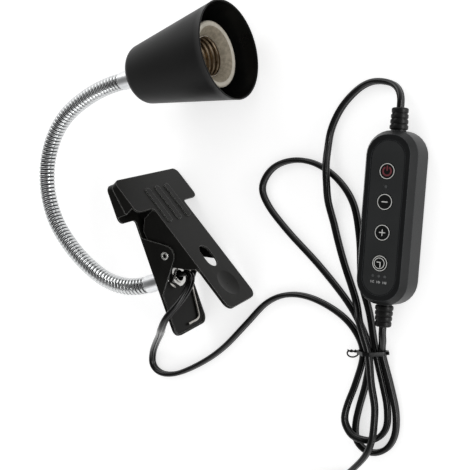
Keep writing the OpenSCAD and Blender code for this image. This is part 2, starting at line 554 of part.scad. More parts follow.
// controller case
module case_plan(inset) rrect(-ctrl_len / 2 + inset, ctrl_len / 2 - inset,
  -ctrl_w / 2 + inset, ctrl_w / 2 - inset, 15.5 - inset);
module slab(z0, z1) translate([0, 0, z0]) linear_extrude(height = z1 - z0) children();
roof = ctrl_h - 0.8;
ceiling = roof - 1.8;
board_z = relief_z;
board_t = 1.6;
boss_x = [-38, 38];
boss_y = [-10.4, 10.4];
module controller_back_shell() color([0.17, 0.18, 0.18]) at_ctrl() difference() {
  union() {
    difference() {
      hull() {
        slab(0, 0.8) case_plan(1.6);
        slab(2, 3) case_plan(0);
        slab(part_z - 0.5, part_z) case_plan(case_draft);
      }
      slab(case_wall, part_z + 1) case_plan(case_wall + 0.6);
    }
    for (x = boss_x, y = boss_y) translate([x, y, case_wall - 0.5])
      cylinder(h = board_z - case_wall + 0.5, r = 2.9, $fn = 24);
  }
  for (x = boss_x, y = boss_y) translate([x, y, -1]) {
    cylinder(h = 20, r = 1.4, $fn = 24);
    cylinder(h = 1 + screw_seat, r = 2.4, $fn = 24);
  }
  for (m = [0, 1]) mirror([m, 0, 0]) translate([0, 0, relief_z]) rotate([0, 90, 0])
    cylinder(h = 80, r = 4.6);
}
screw_seat = 4;
module controller_front_shell() color([0.15, 0.16, 0.16]) at_ctrl() difference() {
  union() {
    difference() {
      hull() {
        slab(part_z + 0.02, part_z + 0.4) case_plan(case_draft + 0.15);
        slab(ctrl_h - 0.4, ctrl_h) case_plan(panel_in);
      }
      hull() {
        slab(part_z - 1, part_z + 0.6) case_plan(case_wall + 0.6);
        slab(part_z + 0.6, ceiling) case_plan(panel_in + case_wall);
      }
    }
    for (x = boss_x, y = boss_y) translate([x, y, board_z + board_t + tiny])
      cylinder(h = ceiling - board_z - board_t + 0.5, r = 2.9, $fn = 24);
  }
  slab(roof, ctrl_h + 1) panel_plan(0);
  for (x = button_x) translate([x, 0, part_z]) cylinder(h = 20, r = button_r + body_gap);
  for (v = led_at) translate([v[0], v[1], part_z]) cylinder(h = 20, r = 1.0, $fn = 24);
  for (x = boss_x, y = boss_y) translate([x, y, board_z]) cylinder(h = 7.5, r = 1.22, $fn = 24);
}
led_at = [[18.4, 0], [-34.2, 3.8], [-34.2, 0], [-34.2, -3.8]];
module panel_plan(inset) rrect(-45.6 + inset, 45.6 - inset, -10.6 + inset, 10.6 - inset,
  10.6 - inset - 0.1);
module face_panel() color([0.12, 0.12, 0.13]) at_ctrl() difference() {
  slab(roof, roof + 0.6) panel_plan(0.3);
  for (x = button_x) translate([x, 0, roof - 1]) cylinder(h = 3, r = button_r + body_gap);
  for (v = led_at) translate([v[0], v[1], roof - 1]) cylinder(h = 3, r = 1.0, $fn = 24);
}
// push button: cap through the panel, flange under the roof
module button(x) at_ctrl() translate([x, 0, 0]) {
  translate([0, 0, ceiling - 1.4]) cylinder(h = ctrl_h - 0.1 - ceiling + 1.4, r = button_r - 0.25);
  translate([0, 0, ceiling - 1.4]) cylinder(h = ctrl_h - 0.35 - ceiling + 1.4, r = button_r);
  translate([0, 0, ceiling - 1.4]) cylinder(h = 1.05, r = button_r + 1.2);
}
module power_button() color([0.35, 0.08, 0.08]) button(button_x[0]);
module dim_down_button() color([0.12, 0.12, 0.13]) button(button_x[1]);
module dim_up_button() color([0.12, 0.12, 0.13]) button(button_x[2]);
module timer_button() color([0.12, 0.12, 0.13]) button(button_x[3]);
// rubber key mat with a dome under each button, on the circuit board
mat_z = board_z + board_t;
module key_mat() color([0.5, 0.5, 0.5]) at_ctrl() difference() {
  union() {
    slab(mat_z, mat_z + 1.2) rrect(-40, 34, -7, 7, 3);
    for (x = button_x) translate([x, 0, mat_z + 1.1])
      cylinder(h = ceiling - 1.4 - button_travel - 0.35 - mat_z - 1.1, r1 = 4.2, r2 = 3);
  }
  for (v = led_at) translate([v[0], v[1], mat_z - 1]) cylinder(h = 4, r = 1.2, $fn = 24);
}
module circuit_board() color([0.1, 0.35, 0.16]) at_ctrl() difference() {
  slab(board_z, mat_z) rrect(-43, 43, -13.2, 13.2, 9);
  for (x = boss_x, y = boss_y) translate([x, y, board_z - 1]) cylinder(h = 4, r = 1.5, $fn = 24);
}
// light pipes from the board to the panel
module indicator_leds() color([0.45, 0.46, 0.48]) at_ctrl()
  for (v = led_at) translate([v[0], v[1], mat_z]) cylinder(h = roof + 0.6 - mat_z, r = 0.85, $fn = 24);
module housing_screws() color([0.6, 0.6, 0.62]) at_ctrl()
  for (x = boss_x, y = boss_y) translate([x, y, 0]) {
    translate([0, 0, screw_seat - 1.8]) cylinder(h = 1.8, r = 2.1, $fn = 24);
    translate([0, 0, screw_seat - 0.5]) cylinder(h = 12, r = 1.2, $fn = 24);
  }
// moulded strain relief: flange inside the case, ribbed and tapered outside
module relief() translate([0, 0, relief_z]) rotate([0, 90, 0]) {
  x0 = ctrl_len / 2;
  neck_in = case_wall + 1.35;
  translate([0, 0, x0 - neck_in - 1.6]) cylinder(h = 1.6, r = 5.4, $fn = 32);
  translate([0, 0, x0 - neck_in - 0.1]) cylinder(h = neck_in + 1, r = 4.5, $fn = 32);
  rotate_extrude($fn = 32) polygon(concat([[0, x0 + 0.3], [5.5, x0 + 0.3]],
    [for (i = [0 : 3]) let (z = x0 + 1.2 + i * 3, r = 5.5 - 0.2 * i)
      each [[r, z + 0.4], [r - 0.9, z + 0.8], [r - 0.9, z + 1.6], [r - 0.2, z + 2]]],
    [[4.5, relief_tip], [0, relief_tip]]));
}
module strain_relief_lamp() color([0.07, 0.07, 0.07]) at_ctrl() mirror([1, 0, 0]) relief();
module strain_relief_plug() color([0.07, 0.07, 0.07]) at_ctrl() relief();

// cords
module lamp_cord() color([0.06, 0.06, 0.06]) row() tube(lamp_route, cord_8);
module plug_cord() color([0.06, 0.06, 0.06]) row() tube(plug_route, cord_8);
module cord_coil() color([0.06, 0.06, 0.06]) row() tube(coil_path, cord_6);
// plastic twist ties: a band drawn round the strands, its ends twisted, one turned back
tie_t = 0.8;
module band(corners, wide) {
  translate([-wide / 2, 0, 0]) rotate([90, 0, 90]) linear_extrude(height = wide) difference() {
    hull() for (c = corners) translate(c) circle(r = 2 * tie_t, $fn = 16);
    hull() for (c = corners) translate(c) circle(r = tie_t, $fn = 16);
  }
  out = corners[0][0] + 2 * tie_t - 0.3;
  translate([0, out, 4]) {
    rotate([-90, 0, 0]) linear_extrude(height = 8, twist = 540, slices = 12)
      square([2, 1], center = true);
    tube([[0, 6.6, 0], [-0.1, 8, 0], [-1.2, 8.8, 0], [-2.8, 8.4, 0], [-3.8, 6.6, 0],
      [-3.7, 4, 0], [-2.6, 1.8, 0], [-0.8, 0.2, 0]], ring_of(0.5, 8));
  }
  translate([0, -out, 4]) rotate([90, 0, 0]) linear_extrude(height = 2) square([1.8, 1], center = true);
}
// a band's corners, from the bottom up, for a width and height inside it and a width on top
function band_corners(w, h, w_top, h_top) = let (a = w / 2 - tie_t, b = w_top / 2 - tie_t)
  [[a, 2 * tie_t], [a, h], [b, h_top], [-b, h_top], [-a, h], [-a, 2 * tie_t]];
module bundle_tie() color([0.05, 0.05, 0.05]) row() translate([tie_at[0], tie_at[1], 0])
  band(band_corners(3 * strand_step + cord_w + 1.3, strand + cord_h / 2 - 0.5,
    cord_w + 0.8, stacked + cord_h / 2 - 0.5), 2.4);
module coil_tie() color([0.05, 0.05, 0.05]) row()
  translate([coil_mid[0], coil_mid[1], 0]) rotate([0, 0, 200])
    translate([0, -coil_r + coil_step * 0.5, 0]) let (w = cord_w + coil_step + 2.4,
      h = coil_high + cord_h / 2 - 0.5) band(band_corners(w, h - 1, w, h), 2.4);

// two-pin plug lying on its flat side, cord in at its back
plug_len = 35;
module plug_body() color([0.07, 0.07, 0.07]) row() translate([plug_at[0], plug_at[1], 0])
  difference() {
    union() {
      hull() {
        translate([-13, -plug_len, 0.6]) cube([26, 14, 12.8]);
        translate([-17.5, -plug_len + 2, 2.6]) cube([35, 9, 8.8]);
        translate([-5, -4, 2.2]) cube([10, 1, 10]);
      }
      translate([0, 0, plug_at[2]]) rotate([90, 0, 0]) cylinder(h = 5, r1 = 4, r2 = 5, $fn = 32);
    }
    for (x = [-9.5, 9.5]) translate([x, -plug_len - 1, plug_at[2]]) rotate([-90, 0, 0])
      cylinder(h = 6, r = pin_r - 0.38, $fn = 32);
  }
module plug_pins() color([0.8, 0.78, 0.7]) row()
  for (x = [-9.5, 9.5]) translate([plug_at[0] + x, plug_at[1] - plug_len, plug_at[2]])
    rotate([90, 0, 0]) {
      translate([0, 0, -5]) cylinder(h = 5 + tiny, r = pin_r - 0.4, $fn = 32);
      cylinder(h = pin_len - 1, r = pin_r, $fn = 32);
      translate([0, 0, pin_len - 1 - tiny]) cylinder(h = 1 + tiny, r1 = pin_r, r2 = pin_r - 0.8, $fn = 32);
    }

echo(coil_least_gap = coil_gap);
echo(neck_end = neck_end, neck_end_az = neck_end_az, neck_len = neck_len);
echo(clamp_at = clamp_at, clamp_rot = [clamp_roll, -clamp_tilt, clamp_turn]);
echo(bends = [for (s = neck_bends) [neck_pt(s), neck_tan(s)]]);

shade();
lampholder_body();
screw_shell();
centre_contact();
lampholder_bracket();
bracket_screws();
fixing_nipple();
nipple_nut();
head_ferrule();
neck_hose_root();
neck_hose_1();
neck_hose_2();
neck_hose_3();
neck_hose_4();
neck_hose_head();
neck_cable_root();
neck_cable_1();
neck_cable_2();
neck_cable_3();
neck_cable_4();
neck_cable_head();
clamp_ferrule();
threaded_stud();
lock_washer();
hex_nut();
fixed_jaw();
moving_jaw();
pivot_rivet();
torsion_spring();
controller_back_shell();
controller_front_shell();
face_panel();
power_button();
dim_down_button();
dim_up_button();
timer_button();
key_mat();
circuit_board();
indicator_leds();
housing_screws();
strain_relief_lamp();
strain_relief_plug();
lamp_cord();
plug_cord();
cord_coil();
bundle_tie();
coil_tie();
plug_body();
plug_pins();
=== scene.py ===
"""Looks of a reptile clamp lamp, laid on a white table: conical shade, ribbed gooseneck,
pressed steel clamp, flat two-core cord and an in-line dimmer and timer.
Lengths are millimetres until mesh() turns them into metres. The lamps and the table are in
metres, and grains and patches of a finish are in repeats to the metre."""
import math

import bmesh
import bpy
from mathutils import Euler, Matrix, Quaternion, Vector


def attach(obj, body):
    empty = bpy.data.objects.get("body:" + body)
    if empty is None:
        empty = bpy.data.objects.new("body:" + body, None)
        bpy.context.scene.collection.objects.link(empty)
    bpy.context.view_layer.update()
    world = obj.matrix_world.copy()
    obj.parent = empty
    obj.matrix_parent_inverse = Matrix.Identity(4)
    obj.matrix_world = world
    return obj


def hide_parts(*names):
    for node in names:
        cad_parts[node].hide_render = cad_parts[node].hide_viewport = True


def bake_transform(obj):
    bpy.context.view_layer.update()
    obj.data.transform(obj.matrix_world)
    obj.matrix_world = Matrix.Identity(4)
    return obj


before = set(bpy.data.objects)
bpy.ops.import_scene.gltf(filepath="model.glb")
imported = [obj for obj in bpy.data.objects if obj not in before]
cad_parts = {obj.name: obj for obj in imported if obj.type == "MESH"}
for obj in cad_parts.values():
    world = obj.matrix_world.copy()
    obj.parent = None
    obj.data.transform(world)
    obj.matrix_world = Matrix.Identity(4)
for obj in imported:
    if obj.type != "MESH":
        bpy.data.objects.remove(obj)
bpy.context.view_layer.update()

MM = 0.001
UP = Vector((0, 0, 1))
IDENTITY = Matrix.Identity(4)


def placed(at, turn=(0, 0, 0)):
    """A frame at a point, turned about x, then y, then z, in degrees."""
    angles = [math.radians(a) for a in turn]
    return Matrix.Translation(Vector(at)) @ Euler(angles).to_matrix().to_4x4()


# where the sub-parts lie
ROW = placed((-0.52, -0.14, 0))
CLAMP = ROW @ placed((-50.4, -42.7, 28.7593), (2.21047, -11.1423, 13.08))
CONTROLLER = ROW @ placed((-34.15, -188.7, 0), (0, 0, -6.75))

# camera, as the photograph was taken: its up is along the row's +X
CAMERA_AT = Vector((-41.92, -373.84, 435.2))
CAMERA_DOWN = math.radians(54.91)
CAMERA_ROLL = math.radians(-1.71)
LENS = 58.44

# lamp sizes
MOUTH_R = 32.5
BACK_R = 19.8
SHADE_LEN = 77.4
BACK_ROUND = 7.5
SHADE_WALL = 1
HOLDER_R = 22
HOLDER_Z = 11.2
HOLDER_BACK = 55.2
SHELL_Z = 18.7
SHELL_LEN = 22
SHELL_R = 13.3
THREAD_PITCH = 3.62
NIPPLE_R = 4.95
FERRULE_R = 6.5
CLAMP_FERRULE = 22
HEAD_FERRULE = 17.5
HEAD_STRAIGHT = 21.7
HOSE_R = 6.15
RIB_PITCH = 3.1
PLATE_D = 14.8
STUD_BACK = 16.4
EAR_OUT = 19.5
SHEET = 1.2
HALF_ANGLE = 11.08
WIRE = 1.8

# controller sizes
CASE_LEN = 104.5
CASE_H = 21
RELIEF_Z = 9
RELIEF_TIP = 65.35
BUTTON_X = [27.4, 9.5, -8.5, -26.6]
BUTTON_R = 4.7
BUTTON_TOP = CASE_H - 0.1

# flat cord on its edge
CORD_W = 3.6
CORD_H = 6


def points(list_of_points, place=ROW):
    return [place @ Vector(p) for p in list_of_points]


def smooth(path, step, relax=3):
    """A curve through the points with a point about every step, its corners eased."""
    p = [2 * path[0] - path[1], *path, 2 * path[-1] - path[-2]]
    out = []
    for a, b, c, d in zip(p, p[1:], p[2:], p[3:]):
        n = max(1, round((c - b).length / step))
        for i in range(n):
            t = i / n
            out.append(0.5 * (2 * b + (c - a) * t + (2 * a - 5 * b + 4 * c - d) * t * t
                              + (3 * b - a - 3 * c + d) * t ** 3))
    out.append(path[-1])
    for _ in range(relax):
        out = [out[0], *[(a + 2 * b + c) / 4 for a, b, c in zip(out, out[1:], out[2:])], out[-1]]
    return out


def arc(x, y, radius, start, end, steps):
    """Points round (x, y), from the start angle to the end angle in degrees."""
    angles = [math.radians(start + (end - start) * i / steps) for i in range(steps + 1)]
    return [(x + radius * math.cos(a), y + radius * math.sin(a)) for a in angles]


def circle(radius, n):
    return arc(0, 0, radius, 0, 360, n)[:-1]


def both_ways(half):
    """A section that looks the same upside down, from half of its points."""
    return half + [(-x, -y) for x, y in half]


def two_core(width, height):
    """Section of a flat two-core cord: two round cores with a groove between them."""
    r = width / 2
    cut = math.degrees(math.acos((height / 2 - r) / r))
    return both_ways(arc(0, height / 2 - r, r, cut - 90, 270 - cut, 11)[:-1])


def face_outwards(data):
    """Turns all faces over if the shape they close is inside out."""
    solid = bmesh.new()
    solid.from_mesh(data)
    inside_out = solid.calc_volume(signed=True) < 0
    solid.free()
    if inside_out:
        data.flip_normals()


def mesh(name, verts, faces, place=IDENTITY, sharp=38, second=()):
    """A smooth-shaded mesh, facing outwards; the faces in second take the second material."""
    data = bpy.data.meshes.new(name)
    data.from_pydata([(place @ Vector(v)) * MM for v in verts], [], faces)
    data.validate()
    for k in second:
        data.polygons[k].material_index = 1
    face_outwards(data)
    data.shade_smooth()
    data.set_sharp_from_angle(angle=math.radians(sharp))
    obj = bpy.data.objects.new(name, data)
    bpy.context.scene.collection.objects.link(obj)
    return obj


def ring_faces(rings, n, closed=False):
    """Quads between rings of n points; closed joins the last ring to the first."""
    faces = []
    for i in range(rings if closed else rings - 1):
        for j in range(n):
            a, b = i * n + j, i * n + (j + 1) % n
            c, d = (i + 1) % rings * n + (j + 1) % n, (i + 1) % rings * n + j
            faces.append((a, b, c, d))
    return faces


def end_faces(count, n):
    """Flat ends on the first and the last ring of n points out of count points."""
    return [tuple(range(n - 1, -1, -1)), tuple(range(count - n, count))]


def revolve(name, profile, place, steps=96, sharp=38, inside_from=None):
    """Turns a loop of (radius, z) points round local z, or an open profile that starts and ends
    on the axis. Faces from the point inside_from on take the second material."""
    rim = [p for p in profile if p[0] > 1e-6]
    turns = [math.tau * j / steps for j in range(steps)]
    verts = [(r * math.cos(a), r * math.sin(a), z) for r, z in rim for a in turns]
    on_axis = len(rim) < len(profile)
    faces = ring_faces(len(rim), steps, closed=not on_axis)
    second = range(inside_from * steps, len(faces)) if inside_from else ()
    if on_axis:
        top = (len(rim) - 1) * steps
        verts += [(0, 0, profile[0][1]), (0, 0, profile[-1][1])]
        for j in range(steps):
            k = (j + 1) % steps
            faces += [(len(verts) - 2, k, j), (len(verts) - 1, top + j, top + k)]
    return mesh(name, verts, faces, place, sharp, second)


def directions(path):
    ends = [path[1] - path[0], *[c - a for a, c in zip(path, path[2:])], path[-1] - path[-2]]
    return [v.normalized() for v in ends]


def level_sides(ahead):
    return [t.cross(UP).normalized() for t in ahead]


def carried_sides(ahead):
    """Sides that turn with the path and never twist about it."""
    out = [ahead[0].orthogonal().normalized()]
    for a, b in zip(ahead, ahead[1:]):
        out.append((a.rotation_difference(b) @ out[-1]).normalized())
    return out


def sweep(name, path, section, level=True, twist=0):
    """A tube along the path, its section a list of (side, up), turned one twist more at each
    point."""
    ahead = directions(path)
    sides = level_sides(ahead) if level else carried_sides(ahead)
    verts = []
    for k, (p, t, side) in enumerate(zip(path, ahead, sides)):
        if twist:
            side = Quaternion(t, k * twist) @ side
        above = side.cross(t)
        verts += [p + side * a + above * b for a, b in section]
    n = len(section)
    faces = ring_faces(len(path), n) + end_faces(len(verts), n)
    return mesh(name, verts, faces, sharp=50)


def sleeve(name, place, low, high, inside, outside, steps, n):
    """A tube whose inner and outer radii are functions of height and angle, in steps of height
    and with n points round."""
    verts = []
    for radius, start, end in ((inside, low, high), (outside, high, low)):
        for i in range(steps + 1):
            z = start + (end - start) * i / steps
            for j in range(n):
                a = math.tau * j / n
                r = radius(z, a)
                verts.append((r * math.cos(a), r * math.sin(a), z))
    return mesh(name, verts, ring_faces(2 * steps + 2, n, closed=True), place, 60)


# materials: roughness of a clear coat, the cosines of a surface's turn at which the painted
# # highlight along edges begins and is full, and the highlight colour's greatest share
COAT_ROUGH = 0.12
HIGHLIGHT_FROM = 0.985
HIGHLIGHT_FULL = 0.9
HIGHLIGHT_MOST = 0.75


def feed(tree, node, inputs):
    """Sets inputs, by name or number, or links those given as another node's output."""
    for key, value in inputs.items():
        if isinstance(value, bpy.types.NodeSocket):
            tree.links.new(value, node.inputs[key])
        else:
            node.inputs[key].default_value = value


def node_of(tree, kind, **inputs):
    """A new node; an underscore in an input's name stands for a space."""
    node = tree.nodes.new("ShaderNode" + kind)
    feed(tree, node, {key.replace("_", " "): value for key, value in inputs.items()})
    return node


def worked_out(tree, kind, operation, first, second):
    """What a Math or VectorMath node makes of two inputs."""
    node = tree.nodes.new("ShaderNode" + kind)
    node.operation = operation
    feed(tree, node, {0: first, 1: second})
    return node.outputs["Value"]


def mixed(tree, kind, first, second, share):
    """A value or colour between the first and the second, by the share of the second."""
    node = tree.nodes.new("ShaderNodeMix")
    node.data_type = kind
    feed(tree, node, {"A": first, "B": second, "Factor": share})
    return node.outputs["Result"]


def painted_edge_highlight(tree, base, edge, size):
    """The base colour, with a painted highlight of the edge colour where the surface turns
    within the size.
    """
    rounded = node_of(tree, "Bevel", Radius=size * MM).outputs["Normal"]
    flat = node_of(tree, "NewGeometry").outputs["Normal"]
    facing = worked_out(tree, "VectorMath", "DOT_PRODUCT", rounded, flat)
    highlighted = node_of(tree, "MapRange", Value=facing, From_Min=HIGHLIGHT_FROM, From_Max=HIGHLIGHT_FULL,
                   To_Max=HIGHLIGHT_MOST)
    return mixed(tree, "RGBA", base, (*edge, 1), highlighted.outputs["Result"])


def finish(name, colour, rough, metal=0.0, other=None, patch=60, grain=900, depth=0.02,
           rough_spread=0.08, edge=None, edge_size=0.4, stretch=None, coat=0.0, specular=0.5):
    """A procedural finish: patches of a second colour, uneven roughness, a fine grain raised
    by depth millimetres, and a painted highlight on rounded edges where edge gives its colour."""
    mat = bpy.data.materials.new(name)
    mat.use_nodes = True
    tree = mat.node_tree
    where = node_of(tree, "TexCoord").outputs["Object"]
    if stretch:
        where = node_of(tree, "Mapping", Vector=where, Scale=stretch).outputs["Vector"]
    patches = node_of(tree, "TexNoise", Vector=where, Scale=patch, Detail=4.0, Roughness=0.6)
    fine = node_of(tree, "TexNoise", Vector=where, Scale=grain, Detail=3.0, Roughness=0.55)
    patchy = patches.outputs["Fac"]
    spread = node_of(tree, "MapRange", Value=patchy, From_Min=0.35, From_Max=0.65)
    second = other or [c * 1.35 for c in colour]
    base = mixed(tree, "RGBA", (*colour, 1), (*second, 1), spread.outputs["Result"])
    # painted highlight along rounded edges, in the edge colour
    if edge:
        base = painted_edge_highlight(tree, base, edge, edge_size)
    uneven = node_of(tree, "MapRange", Value=patchy, To_Min=max(0.02, rough - rough_spread),
                     To_Max=rough + rough_spread)
    bump = node_of(tree, "Bump", Strength=1.0, Distance=depth * MM, Height=fine.outputs["Fac"])
    feed(tree, tree.nodes["Principled BSDF"], {
        "Base Color": base, "Metallic": metal, "Roughness": uneven.outputs["Result"],
        "Normal": bump.outputs["Normal"], "Coat Weight": coat, "Coat Roughness": COAT_ROUGH,
        "Specular IOR Level": specular})
    return mat


def head_finishes():
    """Shade, lampholder and socket."""
    return {
        "shade_paint": finish("matte_black", (0.0065, 0.0065, 0.0065), 0.4, patch=40, grain=2600,
                              other=(0.0085, 0.0085, 0.0085), depth=0.02, specular=0.12),
        "shade_inside": finish("gloss_black", (0.003, 0.003, 0.003), 0.3, patch=50, grain=500,
                               other=(0.005, 0.005, 0.0045), depth=0.01, specular=0.15),
        # sunk face of the lampholder, darker than its rim: painted shade, with dirt
        "porcelain_face_shade_and_dirt": finish("porcelain_face_shade_and_dirt", (0.21, 0.182, 0.137), 0.6, patch=420, grain=2400,
                                 other=(0.32, 0.28, 0.215), depth=0.06, specular=0.2),
        "porcelain": finish("porcelain", (0.43, 0.4, 0.335), 0.35, other=(0.51, 0.475, 0.405),
                            patch=260, grain=2400, depth=0.03, specular=0.35),
        # brass darkened as painted shade inside the socket, with a painted highlight along its
        # edges
        "socket_metal": finish("rolled_brass_painted_shade", (0.22, 0.165, 0.11), 0.3, metal=1.0,
                               other=(0.34, 0.27, 0.19), patch=340, grain=1500, depth=0.01,
                               edge=(0.9, 0.86, 0.78), edge_size=0.35),
    }


def neck_finishes():
    """Wound hose and its ferrules."""
    return {
        "chrome": finish("chrome", (0.62, 0.63, 0.635), 0.2, metal=1.0,
                         other=(0.7, 0.71, 0.715), patch=90, grain=1800, depth=0.006,
                         rough_spread=0.07),
        # near-black finish for the grooves between the chrome turns: painted shade
        "groove": finish("hose_groove_painted_shade", (0.006, 0.006, 0.007), 0.6, patch=120, grain=1800,
                         other=(0.012, 0.012, 0.013), depth=0.01, specular=0.15),
        "ferrule": finish("satin_chrome", (0.74, 0.75, 0.76), 0.36, metal=1.0,
                          other=(0.8, 0.81, 0.82), patch=120, grain=2200, depth=0.006,
                          stretch=(1, 1, 0.1)),
    }


def clamp_finishes():
    """Painted sheet steel, and the bright metal on it."""
    return {
        "steel": finish("zinc_steel", (0.78, 0.77, 0.75), 0.2, metal=1.0,
                        other=(0.6, 0.59, 0.57), patch=160, grain=1400, depth=0.012),
        "rivet": finish("rivet_steel", (0.62, 0.62, 0.6), 0.28, metal=1.0,
                        other=(0.4, 0.4, 0.38), patch=420, grain=1600, depth=0.02),
        "spring": finish("spring_steel", (0.55, 0.53, 0.5), 0.24, metal=1.0,
                         other=(0.4, 0.38, 0.35), patch=200, grain=1600, depth=0.008),
        # satin black paint, with a painted highlight of light grey along rounded edges
        "clamp_paint": finish("satin_black_steel", (0.0055, 0.0054, 0.0048), 0.34, patch=55,
                              other=(0.008, 0.0078, 0.007), grain=1100, depth=0.03,
                              edge=(0.26, 0.26, 0.25), edge_size=0.5, specular=0.13),
    }


def cord_finishes():
    """Cords, moulded ends and ties."""
    return {
        "cord": finish("black_pvc", (0.0032, 0.0032, 0.0032), 0.24, other=(0.006, 0.006, 0.006),
                       patch=120, grain=1500, depth=0.012, specular=0.35, rough_spread=0.05),
        "rubber": finish("moulded_pvc", (0.005, 0.005, 0.005), 0.4, patch=100, grain=1700,
                         depth=0.03, specular=0.25),
        "tie": finish("tie_plastic", (0.004, 0.004, 0.004), 0.34, patch=140, grain=1300,
                      depth=0.02, specular=0.25),
    }


def controller_finishes():
    """Case, panel, keys and what lies under them."""
    return {
        # black case, with a painted highlight along rounded edges
        "case": finish("textured_plastic", (0.0065, 0.007, 0.0073), 0.36,
                       other=(0.009, 0.0096, 0.01), patch=45, grain=2300, depth=0.045,
                       edge=(0.07, 0.075, 0.08), edge_size=0.5, specular=0.22),
        "panel": finish("panel_film", (0.0205, 0.0217, 0.0221), 0.36, other=(0.025, 0.0262, 0.0265),
                        patch=30, grain=1900, depth=0.012, specular=0.25),
        "key": finish("key_film", (0.005, 0.0052, 0.0052), 0.34, patch=70, grain=1900, depth=0.01,
                      specular=0.2),
        "light_pipe": finish("light_pipe", (0.06, 0.063, 0.065), 0.3, other=(0.08, 0.083, 0.085),
                             patch=300, grain=1500, depth=0.01, coat=0.4),
        "silicone": finish("silicone", (0.4, 0.4, 0.4), 0.55, patch=90, grain=1500, depth=0.02),
        "board": finish("circuit_board", (0.012, 0.11, 0.035), 0.35, other=(0.03, 0.19, 0.06),
                        patch=700, grain=2400, depth=0.02, coat=0.3),
    }


def print_finishes():
    """Signs and numbers on the controller."""
    return {
        "print": finish("white_print", (0.5, 0.5, 0.48), 0.5, other=(0.6, 0.6, 0.58), patch=400,
                        grain=2500, depth=0.01),
        "grey_print": finish("grey_print", (0.3, 0.3, 0.3), 0.5, other=(0.4, 0.4, 0.4),
                             patch=400, grain=2500, depth=0.01),
        "red_print": finish("red_print", (0.1, 0.012, 0.018), 0.42, other=(0.17, 0.03, 0.04),
                            patch=420, grain=2200, depth=0.01),
    }


def contact_finishes():
    """Plug pins and the contact in the socket."""
    return {
        "pin": finish("nickel_pin", (0.7, 0.68, 0.62), 0.2, metal=1.0, other=(0.6, 0.58, 0.52),
                      patch=200, grain=1500, depth=0.006),
        "copper": finish("contact_brass", (0.7, 0.5, 0.24), 0.25, metal=1.0,
                         other=(0.6, 0.42, 0.2), patch=220, grain=1500, depth=0.008),
    }


MATERIALS = {**head_finishes(), **neck_finishes(), **clamp_finishes(), **cord_finishes(),
             **controller_finishes(), **print_finishes(), **contact_finishes()}


def paint(obj, *names):
    """Gives the finishes; only an old list is cleared, as that also resets the faces' choice."""
    if obj.data.materials:
        obj.data.materials.clear()
    for name in names:
        obj.data.materials.append(MATERIALS[name])
    return obj


def piece(obj, body, material, replaces=(), second=None):
    """Dresses a new piece, makes it ride on its body where one is given, and hides the nodes it
    stands for.
    """
    paint(obj, *([material, second] if second else [material]))
    if body:
        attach(obj, body)
    if replaces:
        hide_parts(*replaces)
    return obj


def dress(node, material, round_edge, segments=2):
    """A CAD node keeps its shape and gets a finish, and edges rounded by round_edge."""
    obj = paint(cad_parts[node], material)
    weld = obj.modifiers.new("weld", "WELD")
    weld.merge_threshold = 2e-6
    bevel = obj.modifiers.new("round", "BEVEL")
    bevel.width = round_edge * MM
    bevel.segments = segments
    bevel.limit_method = "ANGLE"
    bevel.angle_limit = math.radians(32)
    bevel.use_clamp_overlap = True
    normals = obj.modifiers.new("normals", "WEIGHTED_NORMAL")
    normals.weight = 60
    normals.keep_sharp = False


# camera, light and table
def make_camera():
    forward = Vector((0, math.cos(CAMERA_DOWN), -math.sin(CAMERA_DOWN)))
    level, above = Vector((1, 0, 0)), Vector((0, math.sin(CAMERA_DOWN), math.cos(CAMERA_DOWN)))
    right = level * math.sin(CAMERA_ROLL) - above * math.cos(CAMERA_ROLL)
    up = level * math.cos(CAMERA_ROLL) + above * math.sin(CAMERA_ROLL)
    data = bpy.data.cameras.new("camera")
    data.lens = LENS
    data.sensor_width = 36
    data.clip_start = 0.01
    obj = bpy.data.objects.new("camera", data)
    turn = Matrix((right, up, -forward)).transposed().to_4x4()
    obj.matrix_world = Matrix.Translation(CAMERA_AT * MM) @ turn
    bpy.context.scene.collection.objects.link(obj)
    bpy.context.scene.camera = obj


LAMPS_AIM = Vector((-0.05, -0.05, 0))


def lamp(name, at, size, power):
    data = bpy.data.lights.new(name, "AREA")
    data.shape = "RECTANGLE"
    data.size, data.size_y = size
    data.energy = power
    obj = bpy.data.objects.new(name, data)
    obj.location = at
    obj.rotation_euler = (LAMPS_AIM - Vector(at)).to_track_quat("-Z", "Y").to_euler()
    bpy.context.scene.collection.objects.link(obj)


# height of a direction where the ceiling begins and where it is fully dark, its brightness
# there, and that of the surroundings as a light
CEILING_FROM = 0.3
CEILING_FULL = 0.7
CEILING_LEVEL = 0.1
WORLD_LIGHT = 0.55


def make_world():
    """White surroundings under a dark ceiling, as in a photo studio: white to the camera, and in
    reflections white near the level and dark overhead; even and softer as a light."""
    world = bpy.data.worlds.new("studio")
    bpy.context.scene.world = world
    world.use_nodes = True
    tree = world.node_tree
    ray = node_of(tree, "LightPath").outputs
    shown = worked_out(tree, "Math", "MAXIMUM", ray["Is Camera Ray"], ray["Is Transmission Ray"])
    height = node_of(tree, "SeparateXYZ", Vector=node_of(tree, "TexCoord").outputs["Generated"])
    ceiling = node_of(tree, "MapRange", Value=height.outputs["Z"], From_Min=CEILING_FROM,
                      From_Max=CEILING_FULL, To_Min=1, To_Max=CEILING_LEVEL)
    ceiling.interpolation_type = "SMOOTHSTEP"
    level = mixed(tree, "FLOAT", WORLD_LIGHT, ceiling.outputs["Result"], ray["Is Glossy Ray"])
    feed(tree, tree.nodes["Background"], {
        "Color": (1, 1, 1, 1), "Strength": mixed(tree, "FLOAT", level, 1, shown)})


FLOOR_HALF = 2.5
FLOOR_GREY = 0.62
FLOOR_GLOW = 0.62


